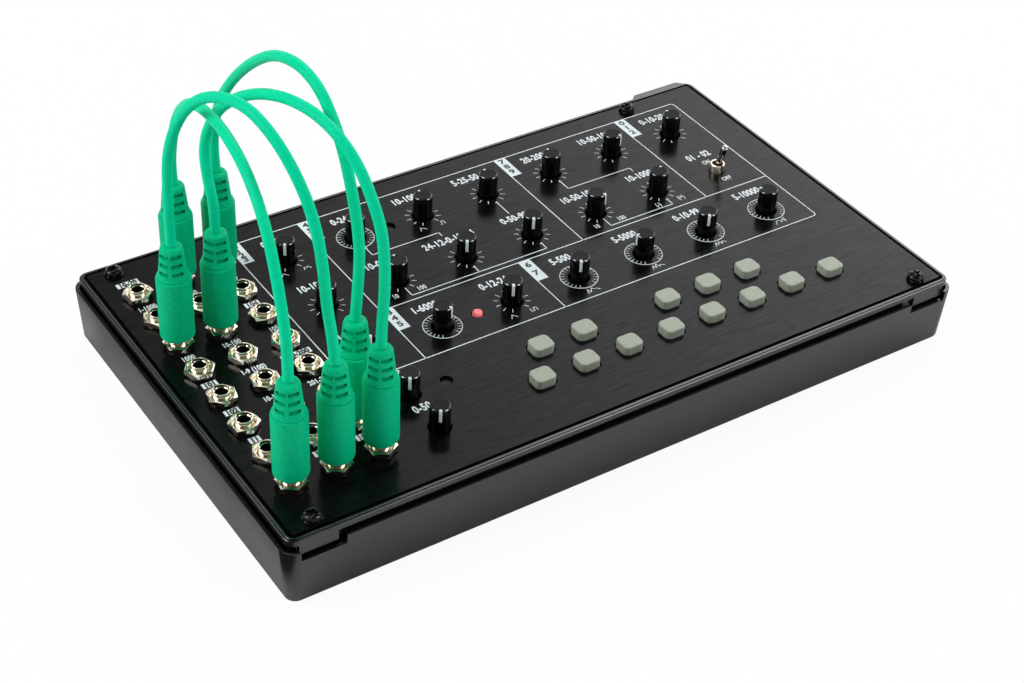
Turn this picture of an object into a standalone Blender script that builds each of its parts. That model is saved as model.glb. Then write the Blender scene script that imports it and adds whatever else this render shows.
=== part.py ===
# Desktop analog synthesizer with a patch bay on the left, in metres, +Z up.
# The origin is the middle of the footprint on the surface it stands on. The front faces -Y.
# Pieces are placed in the panel's frame: its front left corner is zero, and its top is z = 0.
import math

import bmesh
import bpy
from mathutils import Vector

MM = 0.001

# Clearance between pieces, and how far a cutter runs past what it cuts
GAP = 0.3 * MM
OVERRUN = 1.0 * MM
# How far a piece that is fused to another one reaches into it
SINK = 0.5 * MM

# Sides of round pieces
ROUND_SIDES = 12
SMALL_SIDES = 8
HEX_SIDES = 6
CORNER_STEPS = 4
KEY_CORNER_STEPS = 2

# Front panel
PANEL_WIDTH = 223.2 * MM
PANEL_DEPTH = 128.5 * MM
PANEL_THICKNESS = 1.6 * MM
PANEL_CORNER_RADIUS = 0.7 * MM

# Upper tray of the case: a rim round the panel, and a wall that stands in the tub
PANEL_JOINT = 1.0 * MM
RIM_INNER_WIDTH = 0.7 * MM
RIM_OUTER_WIDTH = 0.6 * MM
RIM_STEP = 0.35 * MM
RIM_HEIGHT = 2.15 * MM
TRAY_WALL = 2.0 * MM
TRAY_LEDGE = 0.8 * MM
RAIL_DEPTH = 6.2 * MM
RAIL_HEIGHT = 5.0 * MM

# Two tabs at the front corners, in notches of the tub
TAB_END = 2.6 * MM
TAB_WIDTH = 9.7 * MM
TAB_DROP = 0.9 * MM
TAB_BEVEL = 0.5 * MM
NOTCH_END_GAP = 2.1 * MM
NOTCH_INNER_GAP = 1.7 * MM

# Flange at the back right, over the power inlet
FLANGE_END = 2.1 * MM
FLANGE_WIDTH = 17.6 * MM
FLANGE_SLOPE = 2.5 * MM

# Lower tub of the case
GROOVE_HEIGHT = 1.35 * MM
TUB_HEIGHT = 18.3 * MM
TUB_TOP_OFFSET = 3.75 * MM
TUB_TAPER = 1.1 * MM
TUB_WALL = 1.2 * MM
TUB_FLOOR = 2.0 * MM
TUB_EDGE = 0.5 * MM
PAD_RADIUS = 5.0 * MM
PAD_HEIGHT = 1.0 * MM
PAD_INSET = 14.0 * MM

# Panel screws
SCREW_END = 7.45 * MM
SCREW_EDGE = 3.0 * MM
SCREW_MOVED = 20.3 * MM
SCREW_SHAFT_RADIUS = 1.45 * MM
SCREW_SHAFT_LENGTH = 6.3 * MM
SCREW_HEAD_RADIUS = 2.7 * MM
SCREW_HEAD_HEIGHT = 1.7 * MM
SCREW_CROWN_RADIUS = 1.9 * MM
SCREW_CROWN_HEIGHT = 0.7 * MM
SCREW_WASHER_RADIUS = 3.0 * MM
SCREW_WASHER_HEIGHT = 0.4 * MM
RECESS_LENGTH = 2.8 * MM
RECESS_WIDTH = 0.7 * MM
RECESS_DEPTH = 0.9 * MM

# Circuit boards
BOARD_THICKNESS = 1.6 * MM
BOARD_MARGIN = 9.0 * MM
PATCH_BOARD_START = 2.0 * MM
PATCH_BOARD_END = 43.0 * MM
BOARD_JOINT = 1.5 * MM
CONTROL_BOARD_END = 3.0 * MM

# Patch jacks, in columns and rows
JACK_COLUMNS = 3
JACK_ROWS = 8
JACK_START = 8.9 * MM
JACK_PITCH = 13.55 * MM
JACK_END_MARGIN = 17.0 * MM
JACK_WASHER_RADIUS = 3.8 * MM
JACK_WASHER_HEIGHT = 0.4 * MM
JACK_NUT_WIDTH = 8.0 * MM
JACK_NUT_HEIGHT = 1.6 * MM
JACK_BUSHING_RADIUS = 2.85 * MM
JACK_BUSHING_RISE = 0.7 * MM
JACK_BODY_WIDTH = 9.0 * MM
JACK_FLOOR = 1.0 * MM
# Each nut is tightened to a different angle
NUT_TURN_SHARE = 0.382

# Plugs of the patch cords
PLUG_SHAFT_RADIUS = 1.75 * MM
PLUG_SHAFT_LENGTH = 14.0 * MM
PLUG_TIP_LENGTH = 1.6 * MM
PLUG_TIP_RADIUS = 0.8 * MM
PLUG_COLLAR_RADIUS = 2.6 * MM
PLUG_COLLAR_HEIGHT = 1.3 * MM
GRIP_RADIUS = 5.0 * MM
GRIP_EDGE = 0.6 * MM
GRIP_HEIGHT = 20.4 * MM
SHOULDER_RADIUS = 4.05 * MM
SHOULDER_HEIGHT = 1.7 * MM
RELIEF_TOP_RADIUS = 3.25 * MM
RELIEF_HEIGHT = 7.8 * MM
RELIEF_CROWN_RADIUS = 2.7 * MM
RELIEF_CROWN_HEIGHT = 0.8 * MM
SLOT_HEIGHT = 1.0 * MM
SLOT_WIDTH = 4.4 * MM
SLOT_DEPTH = 0.9 * MM
SLOT_ROWS = 3
SLOT_PITCH = 2.7 * MM
SLOT_START = 0.3 * MM
SLOT_FACING = math.radians(-35)

# Patch cords
CORD_RADIUS = 1.5 * MM
CORD_POINT_COUNT = 22
CORD_STEPS = 12

# Knobs with their shafts in slim pots, in columns and rows
KNOB_COLUMNS = 7
KNOB_START = 54.7 * MM
KNOB_END = 23.8 * MM
KNOB_BACK = 22.3 * MM
KNOB_FRONT = 55.1 * MM
LOW_KNOB_FRONT = 17.3 * MM
LOW_KNOB_PITCH = 16.1 * MM
KNOB_RADIUS = 2.88 * MM
KNOB_RISE = 7.9 * MM
KNOB_BEVEL = 0.4 * MM
KNOB_HOLE_CLEARANCE = 0.75 * MM
POT_WIDTH = 9.5 * MM
POT_SHAFT_RADIUS = 1.5 * MM
POT_BORE_DEPTH = 5.0 * MM

# Keys, in a lower and an upper row
KEY_START = 90.2 * MM
KEY_END = 27.3 * MM
KEY_FRONT = 19.9 * MM
KEY_ROW_PITCH = 12.1 * MM
KEY_WIDTH = 6.7 * MM
KEY_DEPTH = 6.1 * MM
KEY_RISE = 2.3 * MM
KEY_CORNER_RADIUS = 1.7 * MM
KEY_EDGE = 0.5 * MM
KEY_SLOT_CLEARANCE = 0.5 * MM
KEY_LIP = 0.9 * MM
KEY_FLANGE = 1.0 * MM
KEY_TRAVEL = 1.0 * MM
SWITCH_WIDTH = 6.0 * MM
LOWER_KEYS = 8
# An upper key stands after each of these lower ones
UPPER_KEYS_AFTER = (0, 1, 3, 4, 5)

# Indicator light and the dark windows of unlit ones
LIGHT_RADIUS = 1.65 * MM
LIGHT_RISE = 1.0 * MM
LIGHT_DOME = 0.9 * MM
LIGHT_CROWN_RADIUS = 0.9 * MM
DARK_LIGHT_DEPTH = 0.9 * MM

# Toggle switch
TOGGLE_BUSHING_RADIUS = 2.5 * MM
TOGGLE_BUSHING_RISE = 2.8 * MM
TOGGLE_PIVOT_RISE = 2.2 * MM
TOGGLE_BALL_RADIUS = 1.1 * MM
TOGGLE_NECK_RADIUS = 0.5 * MM
TOGGLE_TIP_RADIUS = 1.0 * MM
TOGGLE_TIP_BEVEL = 0.2 * MM
TOGGLE_LENGTH = 8.8 * MM
TOGGLE_LEAN = math.radians(18)
TOGGLE_BODY_WIDTH = 8.0 * MM
TOGGLE_BODY_DEPTH = 12.0 * MM

# Power inlet in the back wall, under the flange
INLET_WIDTH = 9.0 * MM
INLET_HEIGHT = 9.0 * MM
INLET_BORE_RADIUS = 3.2 * MM
INLET_BORE_DEPTH = 8.5 * MM
INLET_PIN_RADIUS = 1.0 * MM
INLET_PIN_RECESS = 3.0 * MM
INLET_OPENING_RADIUS = 4.0 * MM

# Colours, with roughness and metallic values
CASE_BLACK = ((0.045, 0.045, 0.047, 1), 0.6, 0)
PANEL_BLACK = ((0.018, 0.018, 0.019, 1), 0.3, 0)
KNOB_BLACK = ((0.012, 0.012, 0.012, 1), 0.25, 0)
NICKEL = ((0.72, 0.68, 0.62, 1), 0.2, 1)
BOARD_GREEN = ((0.02, 0.12, 0.06, 1), 0.5, 0)
KEY_GREY = ((0.45, 0.47, 0.4, 1), 0.45, 0)
LIGHT_RED = ((0.75, 0.06, 0.06, 1), 0.15, 0)
CORD_GREEN = ((0, 0.52, 0.3, 1), 0.45, 0)
SCREW_BLACK = ((0.01, 0.01, 0.01, 1), 0.3, 0.6)

# Heights that follow from the sizes above
PANEL_UNDERSIDE = -PANEL_THICKNESS
SEAT = PANEL_UNDERSIDE - GAP
TUB_TOP = -RIM_HEIGHT - GROOVE_HEIGHT
TUB_BOTTOM = TUB_TOP - TUB_HEIGHT
FLOOR_TOP = TUB_BOTTOM + TUB_FLOOR
TRAY_BOTTOM = FLOOR_TOP + GAP
PANEL_HEIGHT = -TUB_BOTTOM + PAD_HEIGHT
JACK_WASHER_TOP = GAP + JACK_WASHER_HEIGHT
JACK_NUT_TOP = JACK_WASHER_TOP + JACK_NUT_HEIGHT
JACK_TOP = JACK_NUT_TOP + JACK_BUSHING_RISE
PLUG_SEAT = JACK_TOP + GAP
PLUG_TIP = PLUG_SEAT - PLUG_SHAFT_LENGTH
BORE_BOTTOM = PLUG_TIP - GAP
BOARD_TOP = BORE_BOTTOM - JACK_FLOOR
BOARD_BOTTOM = BOARD_TOP - BOARD_THICKNESS
GRIP_BOTTOM = PLUG_SEAT + PLUG_COLLAR_HEIGHT
GRIP_TOP = GRIP_BOTTOM + GRIP_HEIGHT
RELIEF_BOTTOM = GRIP_TOP + SHOULDER_HEIGHT
RELIEF_TOP = RELIEF_BOTTOM + RELIEF_HEIGHT
PLUG_TOP = RELIEF_TOP + RELIEF_CROWN_HEIGHT
CORD_START = PLUG_TOP + GAP
KEY_BOTTOM = SEAT - KEY_FLANGE
SWITCH_TOP = KEY_BOTTOM - KEY_TRAVEL - GAP

# Distances out from the panel's edge
RIM_STEP_OFFSET = PANEL_JOINT + RIM_INNER_WIDTH
RIM_OFFSET = RIM_STEP_OFFSET + RIM_OUTER_WIDTH
TRAY_OFFSET = TRAY_WALL - TRAY_LEDGE
TUB_SLOPE = TUB_TAPER / TUB_HEIGHT

# Routes of the patch cords between their plugs, in millimetres in the panel's frame
CORD_ROUTES = (
    (
        (8.9, 84.4, 45), (9, 83.9, 55), (9.2, 82.9, 64), (9.8, 80, 73), (10.9, 74.5, 82.5),
        (12.5, 66.8, 90.2), (14.3, 57.6, 94.9), (16.2, 48, 96.3), (17.9, 39.6, 93.5),
        (19.3, 32.6, 88.3), (20.5, 26.8, 81), (21.3, 22.9, 72), (21.7, 20.9, 62),
        (21.9, 19.6, 52), (22.3, 18, 43),
    ),
    (
        (22.4, 111.4, 43), (22.1, 109.3, 50), (21.6, 105.4, 58.2), (20.6, 99, 66.7),
        (19.2, 89.6, 74.6), (17.5, 78.2, 80), (15.8, 64.9, 83), (14, 52.5, 83.5),
        (12.6, 43, 82), (11.3, 34.2, 77.9), (10.4, 27.8, 71.7), (9.8, 23.4, 64.3),
        (9.3, 20, 56.8), (8.9, 17.6, 49.8), (8.9, 17, 43),
    ),
    (
        (22.3, 84.9, 45), (22.1, 86.9, 51.8), (22.2, 88, 59.5), (22.7, 86, 67.4),
        (23.6, 80.2, 76.5), (25, 71.7, 84.2), (26.9, 62.4, 89.8), (28.8, 52.4, 93.3),
        (30.7, 42.1, 94.4), (32.3, 33, 92.7), (33.8, 25.6, 87.9), (34.8, 20.2, 81),
        (35.7, 16.6, 72.5), (36, 15.4, 62.7), (36.2, 15.8, 53), (36.1, 16.6, 44.5),
    ),
    (
        (36, 112, 43), (36, 110.7, 51), (36, 107.3, 59.5), (36, 101.5, 68), (36, 93.6, 76.8),
        (36, 84.2, 85.2), (36, 74.6, 92), (36, 65.8, 96), (36, 56.5, 97.7), (36, 47.8, 96.2),
        (36, 40.6, 90.8), (36, 35.6, 84), (36, 31.8, 75.3), (36, 29, 66), (36, 28.1, 57.5),
        (36, 29, 47),
    ),
)
# Column and row of the jacks that each cord joins, counted from the left and from the back
CORD_JACKS = (((0, 2), (1, 7)), ((1, 0), (0, 7)), ((1, 2), (2, 7)), ((2, 0), (2, 6)))


# Rings of points, counterclockwise, that a stack is built on

def circleRing(radius, z, sides=ROUND_SIDES, start=0.0, centre=(0, 0)):
    angles = [start + math.tau * i / sides for i in range(sides)]
    return [
        Vector((centre[0] + radius * math.cos(a), centre[1] + radius * math.sin(a), z))
        for a in angles
    ]


def boxRing(low, high, z):
    corners = ((high[0], low[1]), (high[0], high[1]), (low[0], high[1]), (low[0], low[1]))
    return [Vector((x, y, z)) for x, y in corners]


def squareRing(width, z, centre=(0, 0)):
    half = width / 2
    low = (centre[0] - half, centre[1] - half)
    high = (centre[0] + half, centre[1] + half)
    return boxRing(low, high, z)


def roundedRing(low, high, radius, z, steps=CORNER_STEPS):
    points = []
    for quarter in range(4):
        start = (quarter - 1) * math.pi / 2
        centreX = high[0] - radius if quarter in (0, 1) else low[0] + radius
        centreY = high[1] - radius if quarter in (1, 2) else low[1] + radius
        for step in range(steps + 1):
            angle = start + math.pi / 2 * step / steps
            x = centreX + radius * math.cos(angle)
            y = centreY + radius * math.sin(angle)
            points.append(Vector((x, y, z)))
    return points


def panelRing(offset, z):
    low = (-offset, -offset)
    high = (PANEL_WIDTH + offset, PANEL_DEPTH + offset)
    return roundedRing(low, high, max(PANEL_CORNER_RADIUS + offset, PANEL_CORNER_RADIUS), z)


# A round hole or pocket whose flat sides keep the gap round a pin
def clearRadius(radius, gap=GAP, sides=ROUND_SIDES):
    return (radius + gap) / math.cos(math.pi / sides)


# Meshes from stacks of rings

def stitch(mesh, lower, upper):
    countA = len(lower)
    countB = len(upper)
    if countA == countB:
        for i in range(countA):
            k = (i + 1) % countA
            mesh.faces.new((lower[i], lower[k], upper[k], upper[i]))
        return
    i = 0
    j = 0
    while i < countA or j < countB:
        a = lower[i % countA]
        b = upper[j % countB]
        if i < countA and (j == countB or (i + 0.5) / countA <= (j + 0.5) / countB):
            mesh.faces.new((a, lower[(i + 1) % countA], b))
            i += 1
        else:
            mesh.faces.new((a, upper[(j + 1) % countB], b))
            j += 1


def addStack(mesh, rings):
    loops = [[mesh.verts.new(p) for p in ring] for ring in rings]
    for lower, upper in zip(loops, loops[1:]):
        stitch(mesh, lower, upper)
    mesh.faces.new(loops[0])
    mesh.faces.new(loops[-1])


def addClosedStack(mesh, rings):
    loops = [[mesh.verts.new(p) for p in ring] for ring in rings]
    for lower, upper in zip(loops, loops[1:] + loops[:1]):
        stitch(mesh, lower, upper)


def addBox(mesh, low, high):
    addStack(mesh, [boxRing(low, high, low[2]), boxRing(low, high, high[2])])


def finish(mesh, name, material=None, location=(0, 0, 0), rotation=(0, 0, 0)):
    bmesh.ops.recalc_face_normals(mesh, faces=mesh.faces)
    data = bpy.data.meshes.new(name)
    mesh.to_mesh(data)
    mesh.free()
    return place(data, name, material, location, rotation)


def place(data, name, material=None, location=(0, 0, 0), rotation=(0, 0, 0)):
    piece = bpy.data.objects.new(name, data)
    bpy.context.scene.collection.objects.link(piece)
    piece.parent = bpy.data.objects["panel_frame"]
    piece.location = location
    piece.rotation_euler = rotation
    if material and not data.materials:
        data.materials.append(material)
        data.shade_smooth()
        data.set_sharp_from_angle(angle=math.radians(32))
    return piece


# The tool is cut from the piece or fused to it, and stays as a hidden guide
def combine(piece, tool, operation):
    tool.hide_render = True
    tool.display_type = "WIRE"
    change = piece.modifiers.new(tool.name, "BOOLEAN")
    change.operation = operation
    change.solver = "EXACT"
    change.object = tool


def makeMaterial(name, look):
    colour, roughness, metallic = look
    material = bpy.data.materials.new(name)
    material.use_nodes = True
    shader = material.node_tree.nodes["Principled BSDF"]
    shader.inputs["Base Color"].default_value = colour
    shader.inputs["Roughness"].default_value = roughness
    shader.inputs["Metallic"].default_value = metallic
    return material


# Places on the panel

def jackPlace(column, row):
    pitch = (PANEL_DEPTH - 2 * JACK_END_MARGIN) / (JACK_ROWS - 1)
    x = JACK_START + column * JACK_PITCH
    y = PANEL_DEPTH - JACK_END_MARGIN - row * pitch
    return x, y


def jackPlaces():
    return [jackPlace(c, r) for c in range(JACK_COLUMNS) for r in range(JACK_ROWS)]


def knobX(column):
    pitch = (PANEL_WIDTH - KNOB_START - KNOB_END) / (KNOB_COLUMNS - 1)
    return KNOB_START + column * pitch


def knobY(row):
    back = PANEL_DEPTH - KNOB_BACK
    return back + row * (KNOB_FRONT - back) / 2


# The last column has the toggle switch in its middle row
def knobPlaces():
    low = [(knobX(0), LOW_KNOB_FRONT + LOW_KNOB_PITCH), (knobX(0), LOW_KNOB_FRONT)]
    grid = [(c, r) for c in range(KNOB_COLUMNS) for r in range(3)]
    grid.remove((KNOB_COLUMNS - 1, 1))
    return [(knobX(c), knobY(r)) for c, r in grid] + low


def togglePlace():
    return knobX(KNOB_COLUMNS - 1), knobY(1)


def lightPlace():
    return (knobX(1) + knobX(2)) / 2, knobY(2)


def darkLightPlaces():
    besideTop = ((knobX(1) + knobX(2)) / 2, knobY(0))
    besideLow = ((knobX(0) + knobX(1)) / 2, LOW_KNOB_FRONT + LOW_KNOB_PITCH)
    return [besideTop, besideLow]


# Keys from the lowest note to the highest
def keyPlaces():
    pitch = (PANEL_WIDTH - KEY_START - KEY_END) / (LOWER_KEYS - 1)
    places = []
    for i in range(LOWER_KEYS):
        x = KEY_START + i * pitch
        places.append((x, KEY_FRONT))
        if i in UPPER_KEYS_AFTER:
            places.append((x + pitch / 2, KEY_FRONT + KEY_ROW_PITCH))
    return places


def screwPlaces():
    right = PANEL_WIDTH - SCREW_END
    back = PANEL_DEPTH - SCREW_EDGE
    front = SCREW_EDGE
    return [(SCREW_END, front), (right, front), (right - SCREW_MOVED, back), (SCREW_END, back)]


def flangeSpan():
    high = PANEL_WIDTH - FLANGE_END
    return high - FLANGE_WIDTH, high


def inletCentre():
    return sum(flangeSpan()) / 2, TRAY_BOTTOM + INLET_HEIGHT / 2


# How far out the tub's face is at a height
def tubOffset(z):
    return TUB_TOP_OFFSET - (TUB_TOP - z) * TUB_SLOPE


# Front panel

def makePanel(material):
    mesh = bmesh.new()
    addStack(mesh, [panelRing(0, PANEL_UNDERSIDE), panelRing(0, 0)])
    panel = finish(mesh, "front_panel", material)
    low = PANEL_UNDERSIDE - OVERRUN
    high = OVERRUN
    holes = bmesh.new()

    def cutRound(centre, radius, sides):
        rings = [circleRing(radius, z, sides, centre=centre) for z in (low, high)]
        addStack(holes, rings)

    for centre in jackPlaces():
        radius = clearRadius(JACK_BUSHING_RADIUS, sides=SMALL_SIDES)
        cutRound(centre, radius, SMALL_SIDES)
    for centre in knobPlaces():
        cutRound(centre, KNOB_RADIUS + KNOB_HOLE_CLEARANCE, ROUND_SIDES)
    for centre in [lightPlace()] + darkLightPlaces():
        cutRound(centre, clearRadius(LIGHT_RADIUS), ROUND_SIDES)
    cutRound(togglePlace(), clearRadius(TOGGLE_BUSHING_RADIUS), ROUND_SIDES)
    for centre in screwPlaces():
        cutRound(centre, clearRadius(SCREW_SHAFT_RADIUS, sides=SMALL_SIDES), SMALL_SIDES)
    for x, y in keyPlaces():
        halfX = KEY_WIDTH / 2 + KEY_SLOT_CLEARANCE
        halfY = KEY_DEPTH / 2 + KEY_SLOT_CLEARANCE
        ends = ((x - halfX, y - halfY), (x + halfX, y + halfY))
        radius = KEY_CORNER_RADIUS + KEY_SLOT_CLEARANCE
        addStack(holes, [roundedRing(*ends, radius, z, KEY_CORNER_STEPS) for z in (low, high)])
    combine(panel, finish(holes, "panel_holes"), "DIFFERENCE")


# Upper tray: rim, wall, rails, tabs and flange

def addTab(mesh, low, high, front, back):
    top = -RIM_STEP
    bottom = TUB_TOP - TAB_DROP
    outline = (
        (low, top), (low, bottom + TAB_BEVEL), (low + TAB_BEVEL, bottom),
        (high - TAB_BEVEL, bottom), (high, bottom + TAB_BEVEL), (high, top),
    )
    addStack(mesh, [[Vector((x, y, z)) for x, z in outline] for y in (front, back)])


def makeTray(material):
    mesh = bmesh.new()
    profile = (
        (PANEL_JOINT, 0), (RIM_STEP_OFFSET, 0), (RIM_STEP_OFFSET, -RIM_STEP),
        (RIM_OFFSET, -RIM_STEP), (RIM_OFFSET, -RIM_HEIGHT), (TRAY_OFFSET, -RIM_HEIGHT),
        (TRAY_OFFSET, TRAY_BOTTOM), (-TRAY_LEDGE, TRAY_BOTTOM), (-TRAY_LEDGE, SEAT),
        (PANEL_JOINT, SEAT),
    )
    addClosedStack(mesh, [panelRing(offset, z) for offset, z in profile])
    tray = finish(mesh, "case_tray", material)

    added = bmesh.new()
    innerSide = TRAY_LEDGE - SINK
    railBottom = SEAT - RAIL_HEIGHT
    rightSide = PANEL_WIDTH - innerSide
    backSide = PANEL_DEPTH - innerSide
    addBox(added, (innerSide, innerSide, railBottom), (rightSide, RAIL_DEPTH, SEAT))
    railFront = PANEL_DEPTH - RAIL_DEPTH
    addBox(added, (innerSide, railFront, railBottom), (rightSide, backSide, SEAT))
    tabFront = -tubOffset(TUB_TOP)
    tabBack = -(PANEL_JOINT + TRAY_OFFSET) / 2
    for low in (TAB_END, PANEL_WIDTH - TAB_END - TAB_WIDTH):
        addTab(added, low, low + TAB_WIDTH, tabFront, tabBack)
    low, high = flangeSpan()
    flangeFront = PANEL_DEPTH + PANEL_JOINT + SINK
    flangeBack = PANEL_DEPTH + TUB_TOP_OFFSET
    outline = (
        (low - FLANGE_SLOPE, flangeFront), (high + FLANGE_SLOPE, flangeFront),
        (high, flangeBack), (low, flangeBack),
    )
    addStack(added, [[Vector((x, y, z)) for x, y in outline] for z in (-RIM_HEIGHT, 0)])
    combine(tray, finish(added, "tray_additions"), "UNION")

    cuts = bmesh.new()
    radius = clearRadius(SCREW_SHAFT_RADIUS, sides=SMALL_SIDES)
    for centre in screwPlaces():
        ends = (railBottom - OVERRUN, SEAT + OVERRUN)
        rings = [circleRing(radius, z, SMALL_SIDES, centre=centre) for z in ends]
        addStack(cuts, rings)
    x, z = inletCentre()
    halfX = INLET_WIDTH / 2 + GAP
    top = z + INLET_HEIGHT / 2 + GAP
    front = PANEL_DEPTH - TRAY_LEDGE - OVERRUN
    back = PANEL_DEPTH + TRAY_OFFSET + OVERRUN
    addBox(cuts, (x - halfX, front, TRAY_BOTTOM - OVERRUN), (x + halfX, back, top))
    combine(tray, finish(cuts, "tray_cuts"), "DIFFERENCE")


# Lower tub: tapered walls, floor, pads, notches for the tabs and a hole for the inlet

def makeTub(material):
    mesh = bmesh.new()
    edgeTop = TUB_BOTTOM + TUB_EDGE
    rings = (
        (tubOffset(TUB_BOTTOM) - TUB_EDGE, TUB_BOTTOM), (tubOffset(edgeTop), edgeTop),
        (TUB_TOP_OFFSET, TUB_TOP), (TUB_TOP_OFFSET - TUB_WALL, TUB_TOP),
        (tubOffset(FLOOR_TOP) - TUB_WALL, FLOOR_TOP),
    )
    addStack(mesh, [panelRing(offset, z) for offset, z in rings])
    tub = finish(mesh, "case_tub", material)

    pads = bmesh.new()
    for x in (PAD_INSET, PANEL_WIDTH - PAD_INSET):
        for y in (PAD_INSET, PANEL_DEPTH - PAD_INSET):
            ends = (TUB_BOTTOM - PAD_HEIGHT, TUB_BOTTOM + SINK)
            addStack(pads, [circleRing(PAD_RADIUS, z, centre=(x, y)) for z in ends])
    combine(tub, finish(pads, "tub_pads"), "UNION")

    cuts = bmesh.new()
    tabBottom = TUB_TOP - TAB_DROP
    notchFloor = tabBottom - NOTCH_END_GAP
    spans = (
        (TAB_END - NOTCH_END_GAP, TAB_END + TAB_WIDTH + NOTCH_INNER_GAP),
        (
            PANEL_WIDTH - TAB_END - TAB_WIDTH - NOTCH_INNER_GAP,
            PANEL_WIDTH - TAB_END + NOTCH_END_GAP,
        ),
    )
    for low, high in spans:
        front = -TUB_TOP_OFFSET - OVERRUN
        back = -TUB_TOP_OFFSET + TUB_WALL + OVERRUN
        addBox(cuts, (low, front, notchFloor), (high, back, TUB_TOP + OVERRUN))
    x, z = inletCentre()
    ends = (PANEL_DEPTH + TRAY_OFFSET, PANEL_DEPTH + TUB_TOP_OFFSET + OVERRUN)
    circle = circleRing(INLET_OPENING_RADIUS, 0)
    addStack(cuts, [[Vector((x + p.x, y, z + p.y)) for p in circle] for y in ends])
    combine(tub, finish(cuts, "tub_cuts"), "DIFFERENCE")


# Patch board: jacks with their bushings, washers and nuts

def addJack(mesh, centre, index):
    nutTurn = -math.pi / 4 + (index * NUT_TURN_SHARE % 1 - 0.5) * math.tau / HEX_SIDES
    nutRadius = JACK_NUT_WIDTH / 2 / math.cos(math.pi / HEX_SIDES)
    bore = clearRadius(PLUG_SHAFT_RADIUS, sides=SMALL_SIDES)

    def ring(radius, z, sides, start=nutTurn):
        return circleRing(radius, z, sides, start, centre)

    addStack(mesh, [
        ring(bore, BORE_BOTTOM, SMALL_SIDES),
        ring(bore, JACK_TOP, SMALL_SIDES),
        ring(JACK_BUSHING_RADIUS, JACK_TOP, ROUND_SIDES),
        ring(JACK_BUSHING_RADIUS, JACK_NUT_TOP, ROUND_SIDES),
        ring(nutRadius, JACK_NUT_TOP, HEX_SIDES),
        ring(nutRadius, JACK_WASHER_TOP, HEX_SIDES),
        ring(JACK_WASHER_RADIUS, JACK_WASHER_TOP, ROUND_SIDES),
        ring(JACK_WASHER_RADIUS, GAP, ROUND_SIDES),
        ring(JACK_BUSHING_RADIUS, GAP, SMALL_SIDES),
        ring(JACK_BUSHING_RADIUS, SEAT, SMALL_SIDES, -math.pi / 4),
        squareRing(JACK_BODY_WIDTH, SEAT, centre),
        squareRing(JACK_BODY_WIDTH, BOARD_TOP - SINK, centre),
    ])


def makePatchBoard(material):
    mesh = bmesh.new()
    low = (PATCH_BOARD_START, BOARD_MARGIN, BOARD_BOTTOM)
    addBox(mesh, low, (PATCH_BOARD_END, PANEL_DEPTH - BOARD_MARGIN, BOARD_TOP))
    board = finish(mesh, "patch_board", material)
    jacks = bmesh.new()
    for index, centre in enumerate(jackPlaces()):
        addJack(jacks, centre, index)
    combine(board, finish(jacks, "patch_jacks"), "UNION")


# Control board: pots with a bore for the knob's shaft, key switches and unlit lights

def makeControlBoard(material):
    mesh = bmesh.new()
    low = (PATCH_BOARD_END + BOARD_JOINT, BOARD_MARGIN, BOARD_BOTTOM)
    high = (PANEL_WIDTH - CONTROL_BOARD_END, PANEL_DEPTH - BOARD_MARGIN, BOARD_TOP)
    addBox(mesh, low, high)
    board = finish(mesh, "control_board", material)
    parts = bmesh.new()
    foot = BOARD_TOP - SINK
    bore = clearRadius(POT_SHAFT_RADIUS, sides=SMALL_SIDES)
    boreBottom = SEAT - POT_BORE_DEPTH
    for centre in knobPlaces():
        addStack(parts, [
            squareRing(POT_WIDTH, foot, centre),
            squareRing(POT_WIDTH, SEAT, centre),
            circleRing(bore, SEAT, SMALL_SIDES, -math.pi / 4, centre),
            circleRing(bore, boreBottom, SMALL_SIDES, -math.pi / 4, centre),
        ])
    for centre in keyPlaces():
        addStack(parts, [squareRing(SWITCH_WIDTH, z, centre) for z in (foot, SWITCH_TOP)])
    for centre in darkLightPlaces():
        ends = (foot, -DARK_LIGHT_DEPTH)
        addStack(parts, [circleRing(LIGHT_RADIUS, z, SMALL_SIDES, centre=centre) for z in ends])
    combine(board, finish(parts, "control_parts"), "UNION")


def makeLight(material):
    mesh = bmesh.new()
    addStack(mesh, [
        circleRing(LIGHT_RADIUS, BOARD_TOP + GAP),
        circleRing(LIGHT_RADIUS, LIGHT_RISE - LIGHT_DOME),
        circleRing((LIGHT_RADIUS + LIGHT_CROWN_RADIUS) / 2, LIGHT_RISE - LIGHT_DOME / 3),
        circleRing(LIGHT_CROWN_RADIUS, LIGHT_RISE),
    ])
    x, y = lightPlace()
    finish(mesh, "indicator_led", material, (x, y, 0))


# Toggle switch, whose lever turns on a ball inside the bushing

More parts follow.
